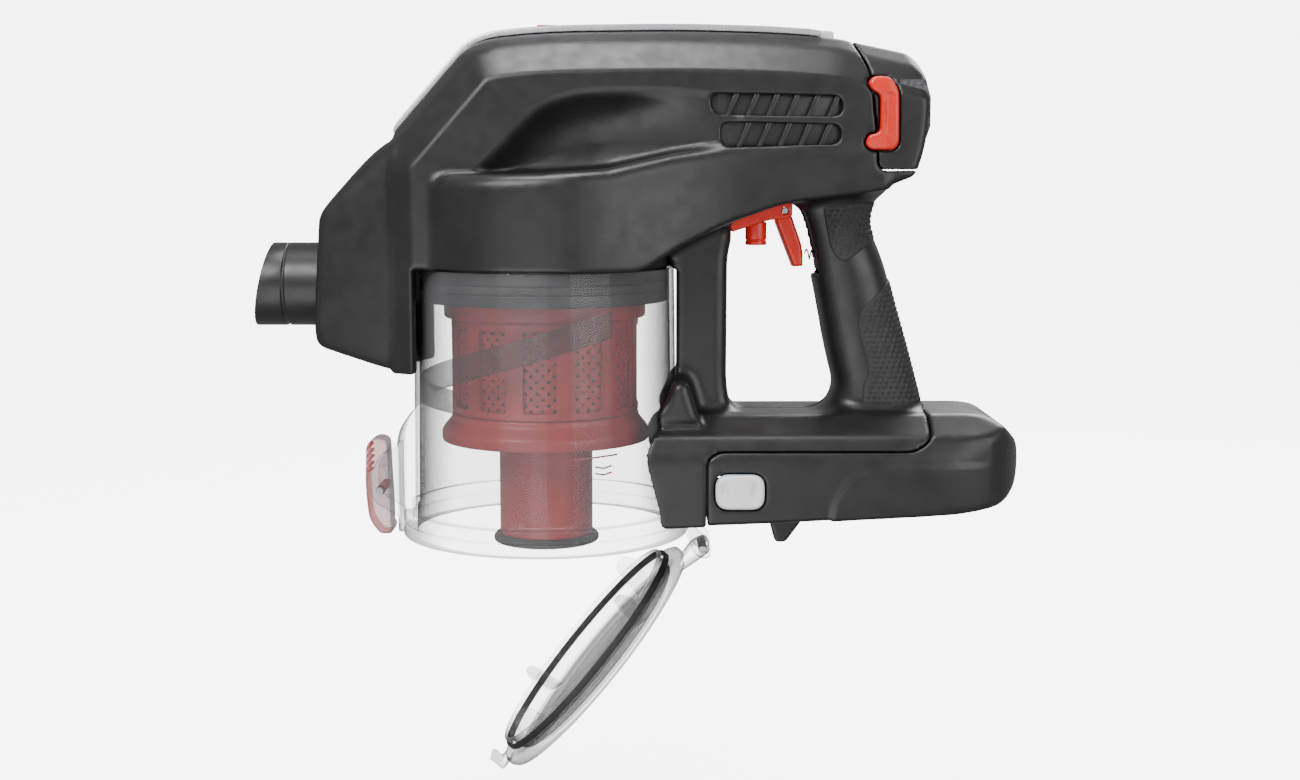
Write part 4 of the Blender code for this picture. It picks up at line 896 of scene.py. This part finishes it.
def make_cup():
    look, flange = LOOKS["clear"], CUP_FLANGE_RADIUS
    step = [(INNER_RIM, -88.0), (INNER_RIM + 1.0, -90.0)]
    profile = [(INNER_TOP, CUP_RIM_Z), (CUP_TOP_RADIUS, CUP_RIM_Z),
               (CUP_TOP_RADIUS + CUP_DRAFT, CUP_SHOULDER_Z), (60.6, -90.2), (flange, -90.6),
               (flange, -95.6), (flange - 0.8, -96.2), (flange, -96.8), (flange, CUP_FOOT_Z),
               (INNER_RIM + 1.2, CUP_FOOT_Z)] + step[::-1]
    cup = turned("cup_bin", profile, look, at=AXIS, steps=ROUND_STEPS, ease=0.5)
    pad_x = CUP_X - flange - 1.2
    pad = [(pad_x, -101, 1), (pad_x, -56, 6), (pad_x + 7, -46, 6), (pad_x + 12, -44, 1),
           (pad_x + 12, -101, 1)]
    extra = [plate("pad", pad, -13.5, 13.5, look, ease=3, bevel=0.8)]
    ear = [(pad_x + 2, -62), (LATCH.x + 1, -66, 3), (LATCH.x - 3.6, -74, 4), (LATCH.x - 3.6, -87, 4),
           (pad_x + 2, -96)]
    for side in (-1, 1):
        near, far = sorted((side * 9.5, side * 11.9))
        extra.append(plate("ear", ear, near, far, look, ease=2, bevel=0.5))
    hx, hz = HINGE.x, HINGE.z
    lug = [(hx - 9, -98), (hx - 7.5, -95.5), (hx + 3.8, hz + 3, 2), (hx + 3.6, hz - 3.4, 2),
           (hx - 0.5, hz - 4, 2), (hx - 4, hz - 1.5, 2)]
    for near in (-12.0, 8.5):
        extra.append(plate("lug", lug, near, near + 3.5, look, ease=1, bevel=0.4))
    combine(cup, extra)
    room = [(0.01, 30), (INNER_TOP, CUP_RIM_Z)] + step
    room += [(INNER_RIM + 1.2, CUP_FOOT_Z), (INNER_RIM + 1.2, -140), (0.01, -140)]
    inside = turned("room", room, look, at=AXIS, steps=ROUND_STEPS, ease=0)
    outline = [(-205, -22, 2), (-205, 1, 2), (-188, 1, 2), (-188, -22, 2)]
    port = plate("port", outline, -12, 12, look, bevel=0)
    combine(cup, [inside, port], "DIFFERENCE")
    fit(cup, "dust_cup", "clear", "dust_cup")


def make_fill_mark():
    """A thin level line and two chevrons inside the cup's front wall, without any lettering."""
    strips = []

    def strip(points):
        rings = []
        for angle, z in points:
            ring = []
            for depth, up in ((0.1, -0.35), (0.1, 0.35), (0.35, 0.35), (0.35, -0.35)):
                r = cup_bore(z) - depth
                a = math.radians(angle)
                ring.append((CUP_X + r * math.cos(a), r * math.sin(a), z + up))
            rings.append(ring)
        strips.append(sweep("mark", rings, LOOKS["deep_red"]))

    strip([(-86 + i * 4, -62.0 + i * 0.2) for i in range(9)])
    for drop in (3.4, 6.2):
        strip([(-65, -61.6 - drop), (-61, -62.4 - drop), (-57, -61.6 - drop)])
    fit(merge("fill_mark", strips), "dust_cup", "deep_red")


def make_vane():
    """The ramp inside the cup: it falls along the near side from the right to below the inlet port."""
    rings = []
    steps, top, fall, start, turn = 96, 1.0, 44.0, 304, 160
    for i in range(steps + 1):
        share = i / steps
        z = top - fall * share
        angle = math.radians(start - turn * share)
        wall = cup_bore(z) - 0.4
        fade = min(1.0, 8 * share + 0.2, 8 * (1 - share) + 0.2)
        ring = []
        for depth, drop in ((0, 0), (0, -11.4), (1.2, -11.6), (6.0 * fade, -9.8), (6.6 * fade, -8.8),
                            (6.0 * fade, -7.8), (1.2, -0.4)):
            r = wall - depth
            ring.append((CUP_X + r * math.cos(angle), r * math.sin(angle), z + drop))
        rings.append(ring)
    fit(sweep("helix_vane", rings, LOOKS["vane"]), "dust_cup", "clear_red", "cup_vane")


def make_collar():
    outer, plug = radius("cup_collar"), 54.7
    profile = [(20, 22), (outer, 22), (outer, 17.6), (plug, 17.6), (plug, 11.6), (plug - 2, 11.6),
               (plug - 2, 7.4), (plug, 7.4), (plug, COLLAR_LOW_Z), (plug - 3.4, COLLAR_LOW_Z),
               (plug - 3.4, 15), (20, 15)]
    turned_piece("collar_ring", profile, "charcoal", "root", "cup_collar")
    low, high = corners("cup_seal")
    seal = [(53.1, high.z), (radius("cup_seal"), high.z), (radius("cup_seal"), low.z), (53.1, low.z)]
    turned_piece("collar_seal", seal, "rubber", "root", "cup_seal", ease=1.2)


def make_filter():
    """The red cyclone filter: a windowed cage, perforated sheet, flared skirt and dust tube."""
    look = LOOKS["deep_red"]
    flange = radius("cyclone_shroud")
    outer, inner = CAGE_RADIUS, CAGE_BORE
    low, high = corners("cyclone_shroud")
    profile = [(30, high.z), (33, high.z), (33, 2), (flange, 2), (flange, -4.2), (flange - 0.8, -5.0),
               (outer, -5.4), (outer, low.z), (inner, low.z), (inner, -0.4), (30, -0.4)]
    cage = turned("filter_cage", profile, look, at=AXIS, steps=144)
    half = inner * math.sin(math.radians(10.5))
    window = [(-half, -44, 1.5), (half, -44, 1.5), (half, -8.5, 1.5), (-half, -8.5, 1.5)]
    cuts = []
    across = CAGE_WINDOWS // 2  # each cut opens two windows
    for i in range(across):
        turn = Matrix.Translation(AXIS) @ Matrix.Rotation(math.pi * i / across, 4, "Z")
        cuts.append(plate("window", window, -60, 60, look, ease=1.5, bevel=0, turn=turn))
    combine(cage, cuts, "DIFFERENCE")
    fit(cage, "cyclone_filter", "deep_red", "cyclone_shroud")
    make_perforated_sheet(39.4, 0.7, -1.2, low.z)

    low, high = corners("cyclone_skirt")
    edge = radius("cyclone_skirt")
    skirt = [(inner, 12.6), (outer, 12.6), (outer + 0.4, 10), (edge - 1.4, 6.6), (edge, 4.6), (edge, 0),
             (edge - 1.6, 0), (edge - 2.2, 3.6), (edge - 6, 5.6), (21, 6.5), (19, 6.5), (19, 8.5),
             (inner - 1, 9.0)]
    skirt = [(r, low.z + up) for r, up in skirt]
    turned_piece("filter_skirt", skirt, "deep_red", "cyclone_filter", "cyclone_skirt", 144, 1.0)
    low, high = corners("dust_tube")
    size = radius("dust_tube")
    tube = [(size, high.z), (size, low.z), (size - 2, low.z), (size - 2, high.z)]
    turned_piece("filter_tube", tube, "deep_red", "cyclone_filter", "dust_tube", 96)
    low, high = corners("tube_seal")
    edge = radius("tube_seal")
    seal = [(edge - 1, high.z), (edge, high.z - 1.2), (edge, low.z + 0.6), (edge - 0.6, low.z),
            (18, low.z), (18, high.z)]
    turned_piece("filter_seal", seal, "rubber", "cyclone_filter", "tube_seal", 96)


def make_perforated_sheet(size, thick, top, bottom, pitch=5.0, hole=0.82, sides=8):
    """A rolled sheet with staggered round holes: brick tiles, each with a ring of faces about its hole."""
    columns = int(2 * math.pi * size / pitch)
    rows = int((top - bottom) / (pitch * 0.5))
    rise = (top - bottom) / rows
    points, faces = [], []
    square = [(1, 0), (1, 1), (0, 1), (-1, 1), (-1, 0), (-1, -1), (0, -1), (1, -1)]
    for row in range(rows):
        for column in range(columns):
            middle = (column + 0.5 * (row % 2)) * 2 * math.pi / columns
            height = top - (row + 0.5) * rise
            first = len(points)
            for r in (size, size - thick):
                for ring in range(2):
                    for k in range(sides):
                        turn = 2 * math.pi * k / sides
                        if ring:
                            u, v = math.cos(turn) * hole, math.sin(turn) * hole
                        else:
                            u, v = square[k][0] * pitch / 2, square[k][1] * rise / 2
                        angle = middle + u / pitch * 2 * math.pi / columns
                        points.append((CUP_X + r * math.cos(angle), r * math.sin(angle), height + v))
            for k in range(sides):
                n = (k + 1) % sides
                a, b, c, d = (first + 8 * ring for ring in range(4))
                faces += [(a + k, a + n, b + n, b + k), (b + k, b + n, d + n, d + k),
                          (d + k, d + n, c + n, c + k)]
                if (row == 0 and k in (1, 2)) or (row == rows - 1 and k in (5, 6)):
                    faces.append((c + k, c + n, a + n, a + k))
    sheet = add_mesh("filter_sheet", points, faces, LOOKS["deep_red"])
    shape = bmesh.new()
    shape.from_mesh(sheet.data)
    bmesh.ops.remove_doubles(shape, verts=shape.verts, dist=0.00002)
    bmesh.ops.recalc_face_normals(shape, faces=shape.faces)
    shape.to_mesh(sheet.data)
    shape.free()
    sheet.data.set_sharp_from_angle(angle=math.radians(50))
    fit(sheet, "cyclone_filter", "deep_red", "filter_mesh")


# ---- flap and latch


def swing_open(piece):
    """Turns a piece drawn on the shut flap to where the open flap carries it."""
    opened = Matrix.Translation(HINGE) @ Matrix.Rotation(-FLAP_OPEN, 4, "Y") @ Matrix.Translation(-HINGE)
    for step in (Matrix.Scale(1 / MM, 4), opened, Matrix.Scale(MM, 4)):
        piece.data.transform(step)
    return piece


def make_flap():
    """The clear bin flap, drawn shut and turned open about its hinge."""
    look = LOOKS["clear"]
    size = 62.0
    profile = [(0.01, -107.6), (49.0, -107.6), (52.6, -106.4), (53.4, -104), (53.6, -97.0), (55.4, -97.0),
               (55.4, -102.5), (60.6, -102.5), (size, -103.6), (size, -106.2), (60.6, -108.4), (57.4, -109.2),
               (50.0, -109.4), (47.6, -108.9), (44.0, -109.4), (0.01, -109.4)]
    flap = turned("bin_flap", profile, look, at=AXIS, steps=ROUND_STEPS, ease=0.5)
    extra = []
    hx, hz = HINGE.x, HINGE.z
    arm = [(hx - 15, hz + 3.4, 1), (hx - 2, hz + 4.2, 3), (hx + 4.2, hz + 1, 3), (hx + 1.5, hz - 4.0, 3),
           (hx - 15, hz + 0.4, 1)]
    extra.append(plate("arm", arm, -8.0, 8.0, look, ease=1, bevel=0.6))
    tip = CUP_X - size
    catch = [(tip + 4, -103.6), (tip + 4, -107), (tip - 6.0, -107, 1), (tip - 6.0, -99.0, 0.6),
             (tip - 4.4, -99.0, 0.6), (tip - 4.4, -104, 1)]
    extra.append(plate("catch", catch, -6, 6, look, ease=0.4, bevel=0.3))
    fin = [(40, -108.4, 1), (54.6, -108.4, 1), (54.6, -93.5, 3), (49.5, -90.0, 3), (43.5, -91.5, 3)]
    for i in range(4):
        turn = Matrix.Translation(AXIS) @ Matrix.Rotation(math.radians(45 + 90 * i), 4, "Z")
        extra.append(plate("fin", fin, -0.6, 0.6, look, ease=2, bevel=0, turn=turn))
    combine(flap, extra)
    turns = [2 * math.pi * k / 24 for k in range(24)]
    hole = [tuple(Vector((hx, hz)) + Vector((math.cos(a), math.sin(a))) * 2.1) for a in turns]
    combine(flap, [plate("bore", hole, -20, 20, look, bevel=0)], "DIFFERENCE")
    fit(swing_open(flap), "cup_flap", "clear", "cup_flap")
    seal = [(55.7, -99.2), (56.6, -99.2), (56.6, -102.2), (55.7, -102.2)]
    ring = turned("flap_ring_seal", seal, LOOKS["rubber"], at=AXIS, steps=128, ease=0.25)
    fit(swing_open(ring), "cup_flap", "rubber", "flap_seal")


def make_latch():
    """The red lever at the cup's front, ribbed where a thumb pushes it."""
    start, (x, y, z) = grid_about("cup_latch", CELL)
    w = np.abs(y)
    px, pz = LATCH.x, LATCH.z
    outline = [(px - 6.3, pz + 21.0, 3), (px - 1.5, pz + 23.8, 3), (px + 3.0, pz + 22, 2),
               (px + 3.6, pz + 5, 6), (px + 4.2, pz - 6, 6), (px + 4.2, pz - 16, 1),
               (px + 5.2, pz - 17.5, 0.8), (px + 4.6, pz - 20, 0.8), (px - 0.5, pz - 20.4, 2),
               (px - 5.5, pz - 14, 5), (px - 7.0, pz, 10)]
    profile = flat(eased(outline), x, z)
    field = both(profile, w - 8.9, 2.4)
    ribs = both(np.abs(np.mod(z - pz - 12.0, 3.0) - 1.5) - 0.55, slab(z, pz + 8, pz + 20))
    field = without(field, both(both(ribs, slab(x, px - 12, px - 4.6)), w - 6.4), 0.5)
    field = without(field, np.hypot(x - px, z - pz) - 2.1)
    moulded("latch_lever", field, start, "clear_red", "cup_latch", "cup_latch")


# ---- stage


def make_stage():
    """A pale floor that curves up into a wall all round, a soft sky and five soft lights."""
    floor_z = cad_low.z - 0.012
    line = [(0.001, floor_z), (1.5, floor_z)]
    line += [(1.5 + math.sin(a), floor_z + 1 - math.cos(a)) for a in np.radians(range(9, 91, 9))]
    line.append((2.5, 4.0))
    turns = np.radians(range(0, 360, 5))
    points = [(r * math.cos(a), r * math.sin(a), z) for r, z in line for a in turns]
    size = len(turns)
    faces = [(i * size + k, i * size + (k + 1) % size, (i + 1) * size + (k + 1) % size, (i + 1) * size + k)
             for i in range(len(line) - 1) for k in range(size)]
    paper = Look("backdrop_paper", (0.8, 0.8, 0.8), 0.8).vary(2, 0.005, 0.02)
    put(paper.shader, {"Emission Color": (1, 1, 1, 1), "Emission Strength": 6.0})
    backdrop = add_mesh("backdrop", np.array(points) / MM, faces, paper.material, 180)
    backdrop.visible_diffuse = backdrop.visible_glossy = False
    world = bpy.data.worlds.new("studio")
    world.use_nodes = True
    put(world.node_tree.nodes["Background"], {"Color": (1, 1, 1, 1), "Strength": 0.4})
    bpy.context.scene.world = world
    centre = (cad_low + cad_high) / 2
    for name, place, size, power in (
        ("key", (-0.6, -0.9, 0.9), 0.6, 15), ("fill", (0.9, -1.0, 0.3), 0.9, 8),
        ("rim", (0.5, 0.8, 0.7), 0.6, 10), ("top", (-0.1, -0.1, 1.1), 0.5, 10),
        ("low", (-0.3, -0.9, -0.4), 0.8, 5),
    ):
        light = bpy.data.lights.new(name, "AREA")
        light.size = size
        light.energy = power
        lamp = link(name, light)
        lamp.location = centre + Vector(place)
        lamp.rotation_euler = (centre - lamp.location).to_track_quat("-Z", "Y").to_euler()


def make_camera():
    lens = bpy.data.cameras.new("camera")
    lens.sensor_width = 36.0
    lens.lens = 47.35
    lens.clip_start, lens.clip_end = 0.01, 20.0
    camera = link("camera", lens)
    camera.location = (-0.0944, -0.765, 0.060)
    look_down = 7.35
    camera.rotation_euler = (math.radians(90 - look_down), 0, 0)
    bpy.context.scene.camera = camera


for make in (make_stage, make_camera, repaint_frame, make_body, make_rear_cap, make_rear_latches,
             make_vents, make_top_strip, make_top_buttons, make_inlet, make_grip_pads, make_trigger,
             make_battery, make_cup, make_fill_mark, make_vane, make_collar, make_filter, make_flap,
             make_latch):
    make()
